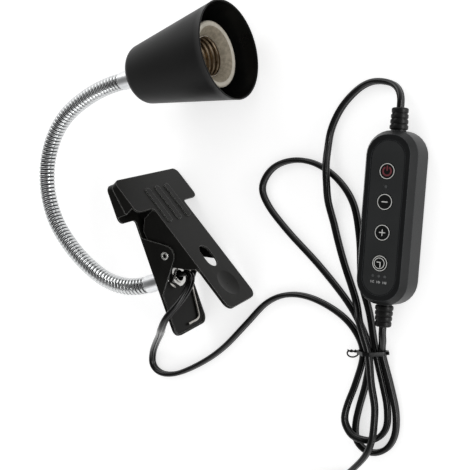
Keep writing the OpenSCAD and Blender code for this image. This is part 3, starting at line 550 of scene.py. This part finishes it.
def make_floor():
    """White table that keeps a soft shadow; part of its white is its own, to the camera and in
    reflections."""
    h = FLOOR_HALF
    data = bpy.data.meshes.new("table")
    data.from_pydata([(-h, -h, 0), (h, -h, 0), (h, h, 0), (-h, h, 0)], [], [(0, 1, 2, 3)])
    floor = bpy.data.objects.new("table", data)
    bpy.context.scene.collection.objects.link(floor)
    mat = bpy.data.materials.new("white_table")
    mat.use_nodes = True
    tree = mat.node_tree
    ray = node_of(tree, "LightPath").outputs
    seen = worked_out(tree, "Math", "MAXIMUM", ray["Is Camera Ray"], ray["Is Glossy Ray"])
    feed(tree, tree.nodes["Principled BSDF"], {
        "Base Color": (FLOOR_GREY, FLOOR_GREY, FLOOR_GREY, 1), "Roughness": 0.9,
        "Specular IOR Level": 0.0, "Emission Color": (1, 1, 1, 1),
        "Emission Strength": worked_out(tree, "Math", "MULTIPLY", seen, FLOOR_GLOW)})
    data.materials.append(mat)


make_camera()
make_world()
make_floor()
lamp("key", (1.2, 0.65, 0.95), (1.0, 1.0), 7.0)
lamp("side", (-0.05, -1.25, 0.3), (0.9, 0.26), 6.0)
lamp("far", (-1.3, 0.2, 0.9), (0.9, 0.9), 2.5)
bpy.context.scene.view_settings.view_transform = "Standard"

# cord routes, as in the part's source; heights of a strand's middle: on the table, over
# another strand, in the tie, and on top in the tie
FLAT = CORD_H / 2
OVER = CORD_H * 1.5 + 0.4
STRAND = FLAT + 1.1
STACKED = STRAND + CORD_H + 0.3
TIE_AT = (-116, -171.6)
STRAND_STEP = CORD_W + 0.55


def tied(i, z=STRAND):
    """A strand's place in the tie, by its number across the bundle."""
    return (TIE_AT[0], TIE_AT[1] + (1.5 - i) * STRAND_STEP, z)


LAMP_ROUTE = [
    (-69.5, -51, 29), (-76, -52, 33.5), (-85.5, -49.5, 41), (-95, -42.5, 46),
    (-103, -34, 41.4), (-109.5, -20, 27), (-118, -4, 13), (-127, 7, 4.5),
    (-136.5, 9, FLAT), (-142.5, 1, FLAT), (-141.5, -15, FLAT), (-132, -38, FLAT),
    (-120, -57.5, FLAT), (-103, -77, FLAT), (-88, -94, FLAT), (-82, -110, FLAT),
    (-83, -127, FLAT), (-90.5, -145, FLAT), (-101, -158, FLAT), tied(0),
    (-136, -159, FLAT), (-149, -154.5, 6), (-159, -153.5, OVER), (-167.5, -158.5, OVER + 0.3),
    (-169, -162.3, 9.1), (-170.8, -167, 4.6), (-168.5, -173.5, FLAT), (-161, -179, FLAT),
    (-148, -179.6, FLAT), (-136, -177.4, FLAT), tied(2),
    (-92, -169.8, FLAT), (-72, -165, FLAT), (-46, -164.6, FLAT), (-24, -161, FLAT),
    (-8, -150.5, FLAT), (3, -135, FLAT), (6.5, -118, FLAT), (2.5, -102.5, FLAT),
    (-9, -93.8, FLAT), (-22, -98, FLAT), (-40, -113, FLAT), (-62, -135, FLAT),
    (-84, -154, FLAT), (-99, -163.2, FLAT), tied(1),
    (-136, -165.8, FLAT), (-149, -161.5, FLAT), (-162, -158, FLAT), (-172.5, -158.5, FLAT),
    (-178.5, -167, FLAT), (-175.5, -177.5, FLAT), (-166, -184, FLAT),
    (-152, -185.2, FLAT), (-136, -182.2, FLAT), tied(3), (-109, -179.6, 6.6),
]
PLUG_ROUTE = [
    (40, -195.9, 7.4), (46.2, -190.8, 4), (50, -179, FLAT), (47.5, -168, FLAT),
    (37.5, -155.5, FLAT), (24, -147.2, FLAT), (12, -145.4, 5), (1, -146, OVER),
    (-11, -146, OVER), (-22, -144.8, 5.8), (-36, -147, FLAT), (-60, -153, FLAT),
    (-84, -161.3, 4.2), (-98, -166.5, STACKED), tied(1.5, STACKED), (-134, -172.6, 9.9),
    (-148, -173.8, 8.2), (-158, -173.6, 9.4), (-168, -172.6, OVER + 1.4), (-178, -168, OVER + 1),
    (-187, -159.5, 7.6), (-196, -148, FLAT), (-202, -132, FLAT),
]

# the put-away coil: its middle, radius and first angle, the angle to its half, the step of a
# turn inwards, the heights of its two layers, the angles over which it rises onto the lead and
# climbs to its second layer, and the plug's place with the lead's straight ends
COIL_MID = (-240, -125)
COIL_R = 33
COIL_START = 17.5
COIL_HALF = 435
COIL_STEP = 5.6
COIL_LOW = FLAT + 0.9
COIL_HIGH = COIL_LOW + CORD_H + 0.6
COIL_FLAT = 15
COIL_RISE = 30
COIL_CLIMB_BEFORE = 50
COIL_CLIMB = 95
COIL_POINT_EVERY = 15
LEAD_IN = 6
PLUG_AT = (-279, -163, 7.2)
COIL_TO_PLUG = Vector((-3.6, -15.6, -1.5))
PLUG_STRAIGHT = (12, 6)
RELIEF_STRAIGHT = 5


def coil_point(angle):
    """The put-away coil: in on the table, climbing a layer where it turns, out again on top."""
    u = angle - COIL_START
    radius = COIL_R - COIL_STEP * (u if u < COIL_HALF else 2 * COIL_HALF - u) / 360
    if u < COIL_FLAT + COIL_RISE:
        z = FLAT + (COIL_LOW - FLAT) * max(0, u - COIL_FLAT) / COIL_RISE
    else:
        climb = min(1, max(0, (u - COIL_HALF + COIL_CLIMB_BEFORE) / COIL_CLIMB))
        z = COIL_LOW + (COIL_HIGH - COIL_LOW) * climb
    a = math.radians(angle)
    return (COIL_MID[0] + radius * math.cos(a), COIL_MID[1] + radius * math.sin(a), z)


def lamp_cord_path():
    stud = points([(-STUD_BACK, y, 0) for y in (PLATE_D, 8, 1)], CLAMP)
    near, far = RELIEF_TIP + RELIEF_STRAIGHT, RELIEF_TIP
    into_case = points([(-near, 0, RELIEF_Z), (-far, 0, RELIEF_Z)], CONTROLLER)
    return smooth([*stud, *points(LAMP_ROUTE), *into_case], 2)


def plug_cord_path():
    near, far = RELIEF_TIP + RELIEF_STRAIGHT, RELIEF_TIP
    from_case = points([(far, 0, RELIEF_Z), (near, 0, RELIEF_Z)], CONTROLLER)
    count = round(2 * COIL_HALF / COIL_POINT_EVERY) + 1
    turns = [Vector(coil_point(COIL_START + COIL_POINT_EVERY * i)) for i in range(count)]
    lead_in = turns[0] - LEAD_IN * (turns[1] - turns[0]).normalized()
    plug = Vector(PLUG_AT)
    tail = [turns[-1] + COIL_TO_PLUG, *[plug + Vector((0, y, 0)) for y in PLUG_STRAIGHT], plug]
    return smooth([*from_case, *points([*PLUG_ROUTE, lead_in, *turns, *tail])], 2)


def make_cord(name, path, nodes):
    """A cord on its path, which the smoothing may not push into the table."""
    for p in path:
        p.z = max(p.z, FLAT)
    obj = sweep(name, path, two_core(CORD_W, CORD_H))
    return piece(obj, "clamp", "cord", nodes)


lamp_path = lamp_cord_path()
plug_path = plug_cord_path()
lamp_flex = make_cord("lamp_flex", lamp_path, ["lamp_cord"])
plug_flex = make_cord("plug_flex", plug_path, ["plug_cord", "cord_coil"])

# gooseneck: arcs in plan as (length, turn), the joints' places along it, and the length over
# which the height is eased from the clamp's to the shade's
NECK_ARCS = [(CLAMP_FERRULE, 0), (49, -43.5), (50.5, -23), (51, -44.5), (56, -56), (50.6, -22.2),
             (HEAD_STRAIGHT, 0)]
NECK_BENDS = [34, 92, 150, 208, 266]
NECK_LEN = sum(length for length, _ in NECK_ARCS)
NECK_FROM = CLAMP @ Vector((-STUD_BACK, PLATE_D, 0))
NECK_DIR = CLAMP.to_3x3() @ Vector((0, 1, 0))
LIFT_FROM = CLAMP_FERRULE + 8
LIFT_RUN = NECK_LEN - HEAD_STRAIGHT - 4 - LIFT_FROM


def neck_height(s):
    """Height of the neck's middle: straight on from the clamp, then eased to the shade's."""
    u = min(1, (s - LIFT_FROM) / LIFT_RUN)
    if u < 0:
        return NECK_FROM.z + s * NECK_DIR.z
    z0 = NECK_FROM.z + LIFT_FROM * NECK_DIR.z
    return (z0 * (2 * u ** 3 - 3 * u * u + 1) + NECK_DIR.z * LIFT_RUN * (u ** 3 - 2 * u * u + u)
            + MOUTH_R * (3 * u * u - 2 * u ** 3))


def neck_point(s):
    """The neck's middle at a length s along it, and its heading in plan."""
    p = Vector((NECK_FROM.x, NECK_FROM.y))
    heading = math.atan2(NECK_DIR.y, NECK_DIR.x)
    left = s
    for k, (length, turn) in enumerate(NECK_ARCS):
        run = left if left < length or k == len(NECK_ARCS) - 1 else length
        t = math.radians(turn) * run / length
        if turn:
            r = length / math.radians(turn)
            p += r * Vector((math.sin(heading + t) - math.sin(heading),
                             math.cos(heading) - math.cos(heading + t)))
        else:
            p += run * Vector((math.cos(heading), math.sin(heading)))
        heading += t
        left -= run
        if left <= 0:
            break
    return Vector((p.x, p.y, neck_height(s))), heading


def neck_ahead(s):
    """The neck's direction at a length s along it."""
    return (neck_point(s + 0.05)[0] - neck_point(s - 0.05)[0]).normalized()


HEAD_END, HEAD_AZ = neck_point(NECK_LEN)
MOUTH = HEAD_END + SHADE_LEN * Vector((math.cos(HEAD_AZ), math.sin(HEAD_AZ), 0))
HEAD = placed((MOUTH.x, MOUTH.y, MOUTH_R), (0, 90, math.degrees(HEAD_AZ) + 180))


def neck_halves(first, last):
    """Lengths of neck between joints, those between two joints cut in half, as (node, half,
    joint, from, to)."""
    cuts = [first, *NECK_BENDS, last]
    names = ["root", "1", "2", "3", "4", "head"]
    for k, name in enumerate(names):
        mid = (cuts[k] + cuts[k + 1]) / 2
        if k == 0:
            yield name, 1, 0, cuts[0], cuts[1]
        elif k == len(names) - 1:
            yield name, 1, k - 1, cuts[k], cuts[k + 1]
        else:
            yield name, 1, k - 1, cuts[k], mid
            yield name, 2, k, mid, cuts[k + 1]


def blend_at(obj, joint, first, last):
    """Bakes the piece's place into its mesh; the middles of the lengths beside the joint are worked
    out but not used.
    """
    cuts = [first, *NECK_BENDS, last]
    start = cuts[0] if joint == 0 else (cuts[joint] + cuts[joint + 1]) / 2
    end = cuts[-1] if joint == len(NECK_BENDS) - 1 else (cuts[joint + 1] + cuts[joint + 2]) / 2
    neck_point(start)[0] * MM
    neck_point(end)[0] * MM
    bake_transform(obj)


# wound hose: its wall, the points round it and along a rib, the share of a rib's pitch that is
# groove, its depth, and how square a rib is; the cable inside runs a little into the holder
HOSE_WALL = 1.9
HOSE_SIDES = 40
RIB_STEPS = 20
GROOVE = 0.3
GROOVE_DEEP = 1.0
RIB_SQUARE = 5
CABLE_STEP = 3
CABLE_IN_HOLDER = 3


def across_rib(s, j):
    """Place across a rib of the wound hose: 0 on its crest, 1 in the groove beside it."""
    return abs(2 * ((s / RIB_PITCH + j / HOSE_SIDES) % 1) - 1)


def rib(s, j):
    """Radius of the hose: a round rib wound on a helix, with a groove between its turns."""
    across = min(1, across_rib(s, j) / (1 - GROOVE))
    return HOSE_R - GROOVE_DEEP * (1 - math.sqrt(max(0, 1 - across ** RIB_SQUARE)))


def hose_ring(at, ahead, side, radii):
    """Points round a place on the neck, square to the way ahead."""
    above = side.cross(ahead)
    turns = [math.tau * j / HOSE_SIDES for j in range(HOSE_SIDES)]
    return [at + side * (r * math.cos(a)) + above * (r * math.sin(a))
            for r, a in zip(radii, turns)]


def hose_length(name, s0, s1):
    """A length of hose, ribs outside and bore inside, with painted shade, a near-black finish, in
    its grooves.
    """
    steps = max(2, round((s1 - s0) / RIB_PITCH * RIB_STEPS))
    at = [s0 + (s1 - s0) * i / steps for i in range(steps + 1)]
    path = [neck_point(s)[0] for s in at]
    ahead = [neck_ahead(s) for s in at]
    places = list(zip(path, ahead, level_sides(ahead)))
    verts = []
    for s, place in zip(at, places):
        verts += hose_ring(*place, [rib(s, j) for j in range(HOSE_SIDES)])
    for place in reversed(places):
        verts += hose_ring(*place, [HOSE_R - HOSE_WALL] * HOSE_SIDES)
    faces = ring_faces(2 * len(at), HOSE_SIDES, closed=True)
    grooves = [k * HOSE_SIDES + j for k in range(steps) for j in range(HOSE_SIDES)
               if across_rib((at[k] + at[k + 1]) / 2, j + 0.5) > 1 - GROOVE]
    return mesh(name, verts, faces, sharp=60, second=grooves)


def make_hose():
    hose_to = NECK_LEN - HEAD_FERRULE
    for name, half, joint, s0, s1 in neck_halves(CLAMP_FERRULE, hose_to):
        node = "neck_hose_" + name
        obj = hose_length(f"{node}_part_{half}", s0, s1)
        piece(obj, None, "chrome", [node], second="groove")
        blend_at(obj, joint, CLAMP_FERRULE, hose_to)


def make_neck_cable():
    cable_to = NECK_LEN + SHADE_LEN - HOLDER_BACK + CABLE_IN_HOLDER
    for name, half, joint, s0, s1 in neck_halves(0, cable_to):
        node = "neck_cable_" + name
        steps = max(2, round((s1 - s0) / CABLE_STEP))
        path = [neck_point(s0 + (s1 - s0) * i / steps)[0] for i in range(steps + 1)]
        obj = sweep(f"{node}_part_{half}", path, two_core(CORD_W, CORD_H))
        piece(obj, None, "cord", [node])
        blend_at(obj, joint, 0, cable_to)


make_hose()
make_neck_cable()


# shade and lampholder
def make_shade():
    cone = math.atan((MOUTH_R - BACK_R) / SHADE_LEN)
    c = math.degrees(cone)
    zc = SHADE_LEN - BACK_ROUND
    rc = MOUTH_R - zc * math.tan(cone) - BACK_ROUND / math.cos(cone)
    lip = SHADE_WALL / 2
    hole = NIPPLE_R + 0.1
    outside = [(MOUTH_R - z * math.tan(cone), z) for z in (0.6, 6, 20, 40, 58)]
    inside = [(r - SHADE_WALL / math.cos(cone), z) for r, z in outside[::-1]]
    profile = (arc(MOUTH_R - lip, lip, lip, -90, 0, 4) + outside
               + arc(rc, zc, BACK_ROUND, c, 90, 14) + [(hole, SHADE_LEN)]
               + [(hole, SHADE_LEN - SHADE_WALL)])
    turn = len(profile)
    profile += (arc(rc, zc, BACK_ROUND - SHADE_WALL, 90, c, 14) + inside
                + arc(MOUTH_R - lip, lip, lip, 180, 270, 4)[:-1])
    obj = revolve("shade_cone", profile, HEAD, 160, inside_from=turn - 1)
    piece(obj, "head", "shade_paint", ["shade"], second="shade_inside")


def make_lampholder():
    """Porcelain body: bore and face first, darker as painted shade with dirt, then the rim and
    the body in the second finish.
    """
    z, bore = HOLDER_Z, SHELL_R + 0.55
    rim = HOLDER_R - 1.5
    body = HOLDER_R - 3.2
    back = HOLDER_BACK
    face = [(bore, SHELL_Z + SHELL_LEN + 0.5), (bore, SHELL_Z - 1.2),
            (SHELL_R + 0.9, SHELL_Z - 1.6), (SHELL_R + 1.15, SHELL_Z - 2.1),
            (SHELL_R + 1.5, SHELL_Z - 2.8), (rim - 2.6, z + 1.3)]
    outside = ([(rim - 1.9, z + 0.7), (rim - 1.2, z + 0.25)]
               + arc(rim, z + 1.5, 1.5, -100, 0, 8) + [(HOLDER_R, z + 8.4)]
               + arc(HOLDER_R - 1.6, z + 9.6, 1.6, 0, 55, 4) + [(body, z + 13)]
               + arc(body - 1, back - 1, 1, 0, 90, 4)
               + [(4, back), (4, back - 5), (3.4, back - 5), (3.4, SHELL_Z + SHELL_LEN + 3)])
    obj = revolve("porcelain_holder", face + outside, HEAD, 128, 50, inside_from=len(face))
    piece(obj, "head", "porcelain_face_shade_and_dirt", ["lampholder_body"], second="porcelain")


def make_screw_shell():
    """Rolled sleeve with the lamp thread: one helix seen inside and out, and a floor."""
    wall, crest = 0.35, 0.52
    mean = SHELL_R - crest - 0.05
    low, top = SHELL_Z - 1, SHELL_Z + SHELL_LEN

    def inside(z, a):
        fade = min(1, (z - low) / 1.4) * min(1, (top - z) / 2)
        flare = 0.35 * max(0, 1 - (z - low) / 1.2)
        return mean + crest * fade * math.cos(math.tau * (z / THREAD_PITCH) - a) + flare

    obj = sleeve("thread_sleeve", HEAD, low, top, inside, lambda z, a: inside(z, a) + wall,
                 steps=66, n=96)
    piece(obj, "head", "socket_metal", ["screw_shell"])
    profile = [(SHELL_R - 3, top), (SHELL_R + 0.3, top), (SHELL_R + 0.3, top + 0.5),
               (SHELL_R - 3, top + 0.5)]
    floor = revolve("sleeve_floor", profile, HEAD, 64)
    piece(floor, "head", "socket_metal")


def ferrule_profile(z0, z1):
    r, bore = FERRULE_R, NIPPLE_R + 0.05
    return ([(bore, z0), (r - 0.5, z0)] + arc(r - 0.4, z0 + 0.5, 0.4, -90, 0, 4)
            + [(r, z0 + 2.2), (r - 0.25, z0 + 2.4), (r - 0.25, z0 + 2.9), (r, z0 + 3.1)]
            + [(r, z1 - 1)] + arc(r - 0.6, z1 - 0.7, 0.6, 0, 90, 5) + [(r - 1.4, z1), (bore, z1)])


def make_ferrules():
    head = revolve("shade_collar", ferrule_profile(SHADE_LEN, SHADE_LEN + HEAD_FERRULE), HEAD, 72)
    piece(head, "head", "ferrule", ["head_ferrule"])
    place = CLAMP @ placed((-STUD_BACK, PLATE_D, 0), (-90, 0, 0))
    root = revolve("clamp_collar", ferrule_profile(0, CLAMP_FERRULE), place, 72)
    piece(root, "clamp", "ferrule", ["clamp_ferrule"])


make_shade()
make_lampholder()
make_screw_shell()
make_ferrules()


# clamp hardware
def make_stud():
    """Hollow threaded stud: a fine helical thread outside a plain bore."""
    bore, pitch, depth = 4.0, 1.0, 0.3

    def thread(z, a):
        return NIPPLE_R - depth * abs(2 * ((z / pitch - a / math.tau) % 1) - 1)

    place = CLAMP @ placed((-STUD_BACK, 0, 0), (-90, 0, 0))
    obj = sleeve("hollow_stud", place, PLATE_D - 6.8, PLATE_D + 10, lambda z, a: bore, thread,
                 steps=90, n=48)
    piece(obj, "clamp", "steel", ["threaded_stud"])


def make_rivet():
    """Tubular rivet with rolled heads."""
    z = EAR_OUT
    half = ([(2, z), (2.75, z), (2.8, z + 0.3)] + arc(2.1, z + 0.3, 0.68, 10, 170, 8)
            + [(1.3, z - 0.6), (1.1, z - 2)])
    obj = revolve("tube_rivet", half + [(r, -h) for r, h in half[::-1]], CLAMP, 48)
    piece(obj, "clamp", "rivet", ["pivot_rivet"])


SPRING_R = 5
SPRING_HALF = 13
SPRING_TURNS = 5 + (180 - 2 * HALF_ANGLE) / 360
SPRING_POINTS = 180
LEG_Y = PLATE_D - SHEET - WIRE / 2 - 0.02
LEG_GAP = 0.35


def turned(v):
    """A point of the fixed handle's side carried to the moving handle's side."""
    flip = Matrix.Rotation(math.radians(2 * HALF_ANGLE), 3, "Z")
    return flip @ Vector((v[0], -v[1], v[2]))


def make_spring():
    """The leg in the fixed handle rides with the clamp; the coil with the other leg rides on no
    body, its place baked into its mesh."""
    leg = [(-50.5, LEG_Y, 2.5), (-50.4, LEG_Y, -3), (-50.4, LEG_Y, -8.6), (-49.2, LEG_Y, -11.4),
           (-46, LEG_Y, -12.5), (-31, LEG_Y, -15), (-18, 9.6, -14.2),
           (-5, SPRING_R + 0.1, -SPRING_HALF)]
    fixed = smooth(points(leg, CLAMP), 0.8, relax=6)
    part = sweep("spring_fixed_leg", fixed, circle(WIRE / 2, 12), level=False)
    piece(part, "clamp", "spring", ["torsion_spring"])
    coil = [leg[-1]]
    for i in range(SPRING_POINTS + 1):
        a = math.radians(90 - i * SPRING_TURNS * 360 / SPRING_POINTS)
        z = -SPRING_HALF + 2 * SPRING_HALF * i / SPRING_POINTS
        coil.append((SPRING_R * math.cos(a), SPRING_R * math.sin(a), z))
    far = [turned(v) for v in ((-5, SPRING_R + 0.1, SPRING_HALF), (-18, 8.8, SPRING_HALF + 0.3),
                               (-31, LEG_Y - LEG_GAP, 13.5), (-46, LEG_Y - LEG_GAP, 12.5))]
    wire = smooth(points([*coil, *far], CLAMP), 0.8)
    part = sweep("spring_coil", wire, circle(WIRE / 2, 12), level=False)
    piece(part, None, "spring", ["torsion_spring"])
    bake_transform(part)


make_stud()
make_rivet()
make_spring()
dress("fixed_jaw", "clamp_paint", 0.4, 3)
dress("moving_jaw", "clamp_paint", 0.28)
dress("hex_nut", "steel", 0.25)
dress("lock_washer", "steel", 0.15)

# controller: ribs of a strain relief, print on the keys and the panel
RELIEF_RIBS = 4
RELIEF_PITCH = 3.2
RELIEF_R = 5.5
RELIEF_TAPER = 0.17
PRINT_THICK = 0.06
PRINT_Z = BUTTON_TOP - 0.02
PRINT_LINE = 0.42
RING_R = BUTTON_R - 0.1
HOUR_X = -37.6
HOUR_SIZE = 2.05
HOURS = (("2H", 3.9), ("4H", 0), ("8H", -3.9))


def make_relief(name, side):
    """Ribbed strain relief, tapered towards the cord, with its flange inside the case."""
    x0 = CASE_LEN / 2
    profile = [(0, x0 - 4.95), (5.4, x0 - 4.95), (5.4, x0 - 3.35), (4.5, x0 - 3.25),
               (4.5, x0 + 0.2)]
    for i in range(RELIEF_RIBS):
        z, r = x0 + 0.35 + RELIEF_PITCH * i, RELIEF_R - RELIEF_TAPER * i
        profile += [(r - 0.5, z), (r - 0.14, z + 0.25), (r, z + 0.8), (r, z + 1.9),
                    (r - 0.14, z + 2.45), (r - 0.55, z + 2.7)]
    profile[-2:] = arc(4.0, RELIEF_TIP - 1, 1, 0, 90, 5)
    profile += [(0, RELIEF_TIP)]
    place = CONTROLLER @ placed((0, 0, RELIEF_Z), (0, 90 * side, 0))
    obj = revolve(name + "_boot", profile, place, 48, sharp=40)
    return piece(obj, "clamp", "rubber", [name])


def ring_mark(x, y, radius, width, gap=0):
    """A printed ring on a key, or part of one where gap is the angle left out at its top."""
    steps = 64
    count = steps + 1 if gap else steps
    angles = [math.radians(gap / 2 + (360 - gap) * i / steps) for i in range(count)]
    low, high = PRINT_Z, PRINT_Z + PRINT_THICK
    verts = [(x + r * math.cos(a), y + r * math.sin(a), z) for a in angles
             for r, z in ((radius - width, low), (radius - width, high), (radius, high),
                          (radius, low))]
    faces = ring_faces(count, 4, closed=not gap)
    return verts, faces + (end_faces(len(verts), 4) if gap else [])


def bar_mark(x, y, length, width, thick=1.0):
    """A printed bar, length along the case and width across it."""
    a, b = length / 2, width / 2
    r = min(a, b) * 0.9
    corners = ((a - r, b - r), (r - a, b - r), (r - a, r - b), (a - r, r - b))
    plan = [p for k, (u, v) in enumerate(corners)
            for p in arc(x + u, y + v, r, 90 * k, 90 * k + 90, 4)]
    verts = [(*p, PRINT_Z + z) for z in (0, PRINT_THICK * thick) for p in plan]
    return verts, ring_faces(2, len(plan)) + end_faces(len(verts), len(plan))


def hour_label(text, x, y, size):
    """An hour number's flat shape, to be read from the timer's end."""
    data = bpy.data.curves.new("hour", "FONT")
    data.body = text
    data.size = size
    data.align_x = data.align_y = "CENTER"
    data.extrude = 0.04
    data.offset = 0.03
    obj = bpy.data.objects.new("hour", data)
    bpy.context.scene.collection.objects.link(obj)
    shape = obj.evaluated_get(bpy.context.evaluated_depsgraph_get()).to_mesh()
    turn = placed((x, y, CASE_H - 0.2), (0, 0, 90))
    verts = [tuple(turn @ v.co) for v in shape.vertices]
    faces = [tuple(p.vertices) for p in shape.polygons]
    bpy.data.objects.remove(obj)
    return verts, faces


def print_on(name, body, material, shapes):
    """Printed shapes, joined as one piece."""
    verts, faces = [], []
    for v, f in shapes:
        faces += [tuple(i + len(verts) for i in face) for face in f]
        verts += v
    return piece(mesh(name, verts, faces, CONTROLLER), body, material)


def make_marks():
    """Rings and signs on the four keys, and the timer's hour numbers."""
    power, down, up, timer = BUTTON_X
    return [
        print_on("power_ring", "power_key", "print", [ring_mark(power, 0, RING_R, PRINT_LINE)]),
        print_on("power_sign", "power_key", "red_print",
                 [ring_mark(power, 0, 3.0, 1.0, 60), bar_mark(power + 1.7, 0, 3.2, 1, 1.1)]),
        print_on("minus_sign", "dim_down_key", "print",
                 [ring_mark(down, 0, RING_R, PRINT_LINE), bar_mark(down, 0, 0.6, 3.9)]),
        print_on("plus_sign", "dim_up_key", "print",
                 [ring_mark(up, 0, RING_R, PRINT_LINE), bar_mark(up, 0, 0.55, 3.9),
                  bar_mark(up, 0, 3.9, 0.55, 1.1)]),
        print_on("timer_sign", "timer_key", "print",
                 [ring_mark(timer, 0, RING_R, PRINT_LINE),
                  ring_mark(timer, 0.3, 3.35, PRINT_LINE), bar_mark(timer - 0.75, -0.3, 3.3, 0.55),
                  bar_mark(timer + 0.63, 0.72, 0.55, 2.6, 1.1)]),
        print_on("hour_numbers", "clamp", "grey_print",
                 [hour_label(text, HOUR_X, y, HOUR_SIZE) for text, y in HOURS]),
    ]


boots = [make_relief("strain_relief_lamp", -1), make_relief("strain_relief_plug", 1)]
marks = make_marks()
dress("controller_back_shell", "case", 0.3)
dress("controller_front_shell", "case", 0.5, 3)
dress("face_panel", "panel", 0.12)
for button in ("power_button", "dim_down_button", "dim_up_button", "timer_button"):
    dress(button, "key", 0.12)
dress("key_mat", "silicone", 0.2)
dress("circuit_board", "board", 0.1)
dress("indicator_leds", "light_pipe", 0.15)
dress("housing_screws", "steel", 0.15)

# ties: the band's thickness with its play, its bends, and the twisted end that stands out,
# its foot sunk into the band
TIE_T = 0.8
TIE_BEND = 1.2
TIE_BAND = both_ways([(-1.2, -0.3), (-0.6, -0.35), (0, -0.45), (0.6, -0.35), (1.2, -0.3)])
TIE_END = both_ways([(0.9, -0.3), (1.0, 0), (0.9, 0.3), (0, 0.42)])
TIE_END_Z = 4
TIE_SUNK = 0.3
TAIL_LEN = 8.3
TAIL_STEPS = 40
TAIL_TURNS = 1.5


def band_corners(*room):
    """Middles of a band's bends, from the table up one side and down the other, for the room
    inside it, given as (width, height) from the table up."""
    right = [(width / 2 - TIE_T, height) for width, height in room]
    return right + [(-y, z) for y, z in right[::-1]]


def bend_over(z):
    """Height of a band's bend beside the top of a strand at the height z."""
    return z + CORD_H / 2 - 0.5


def band_line(corners):
    """A band's middle line in (across, up): a round bend at each corner."""
    line = []
    for k, (y, z) in enumerate(corners):
        before, after = corners[k - 1], corners[(k + 1) % len(corners)]
        start = math.degrees(math.atan2(z - before[1], y - before[0])) - 90
        end = math.degrees(math.atan2(after[1] - z, after[0] - y)) - 90
        line += arc(y, z, TIE_BEND, start, start + (end - start) % 360, 5)
    return line


def make_tie(name, place, corners):
    """Twist tie drawn round the strands: its band, its twisted ends, one turned back, and its
    cut end on the other side."""
    line = band_line(corners)
    path = points([(0, y, z) for y, z in line], place)
    ahead = [(after - before).normalized()
             for before, after in zip([path[-1], *path[:-1]], [*path[1:], path[0]])]
    axis = (place.to_3x3() @ Vector((1, 0, 0))).normalized()
    verts = [p + axis * a + axis.cross(t) * b for p, t in zip(path, ahead) for a, b in TIE_BAND]
    faces = ring_faces(len(path), len(TIE_BAND), closed=True)
    band = piece(mesh(name + "_band", verts, faces, sharp=60), "clamp", "tie",
                 [name])
    out = max(y for y, _ in line) - TIE_SUNK
    tail = points([(0, out + TAIL_LEN * i / TAIL_STEPS, TIE_END_Z)
                   for i in range(TAIL_STEPS + 1)], place)
    twisted = sweep(name + "_twist", tail, TIE_END, twist=math.tau * TAIL_TURNS / TAIL_STEPS)
    back = [(0, 6.6), (-0.1, 8), (-1.2, 8.8), (-2.8, 8.4), (-3.8, 6.6), (-3.7, 4), (-2.6, 1.8),
            (-0.8, 0.2)]
    turned_back = smooth(points([(x, out + y, TIE_END_Z) for x, y in back], place), 0.6)
    end_loop = sweep(name + "_loop", turned_back, circle(0.5, 10), level=False)
    stub = points([(0, -out - y, TIE_END_Z) for y in (0, 0.5, 1, 1.5, 2)], place)
    stub_end = sweep(name + "_stub", stub, TIE_END)
    return [band] + [piece(part, "clamp", "tie")
                     for part in (twisted, end_loop, stub_end)]


# four strands side by side under a fifth, and the coil's turns, two side by side and two high
bundle_w = 3 * STRAND_STEP + CORD_W + 1.3
coil_w = CORD_W + COIL_STEP + 2.4
half_way_in = placed((0, -COIL_R + COIL_STEP / 2, 0))
bundle = make_tie("bundle_tie", ROW @ placed((*TIE_AT, 0)), band_corners(
    (bundle_w, 2 * TIE_T), (bundle_w, bend_over(STRAND)), (CORD_W + 0.8, bend_over(STACKED))))
coil_tie = make_tie("coil_tie", ROW @ placed((*COIL_MID, 0), (0, 0, 200)) @ half_way_in,
                    band_corners((coil_w, 2 * TIE_T), (coil_w, bend_over(COIL_HIGH))))

# plug, and the inner pieces of the head
dress("plug_body", "rubber", 0.8, 3)
dress("plug_pins", "pin", 0.1)
dress("centre_contact", "copper", 0.1)
dress("lampholder_bracket", "steel", 0.2)
dress("bracket_screws", "steel", 0.15)
dress("fixing_nipple", "steel", 0.1)
dress("nipple_nut", "steel", 0.3)
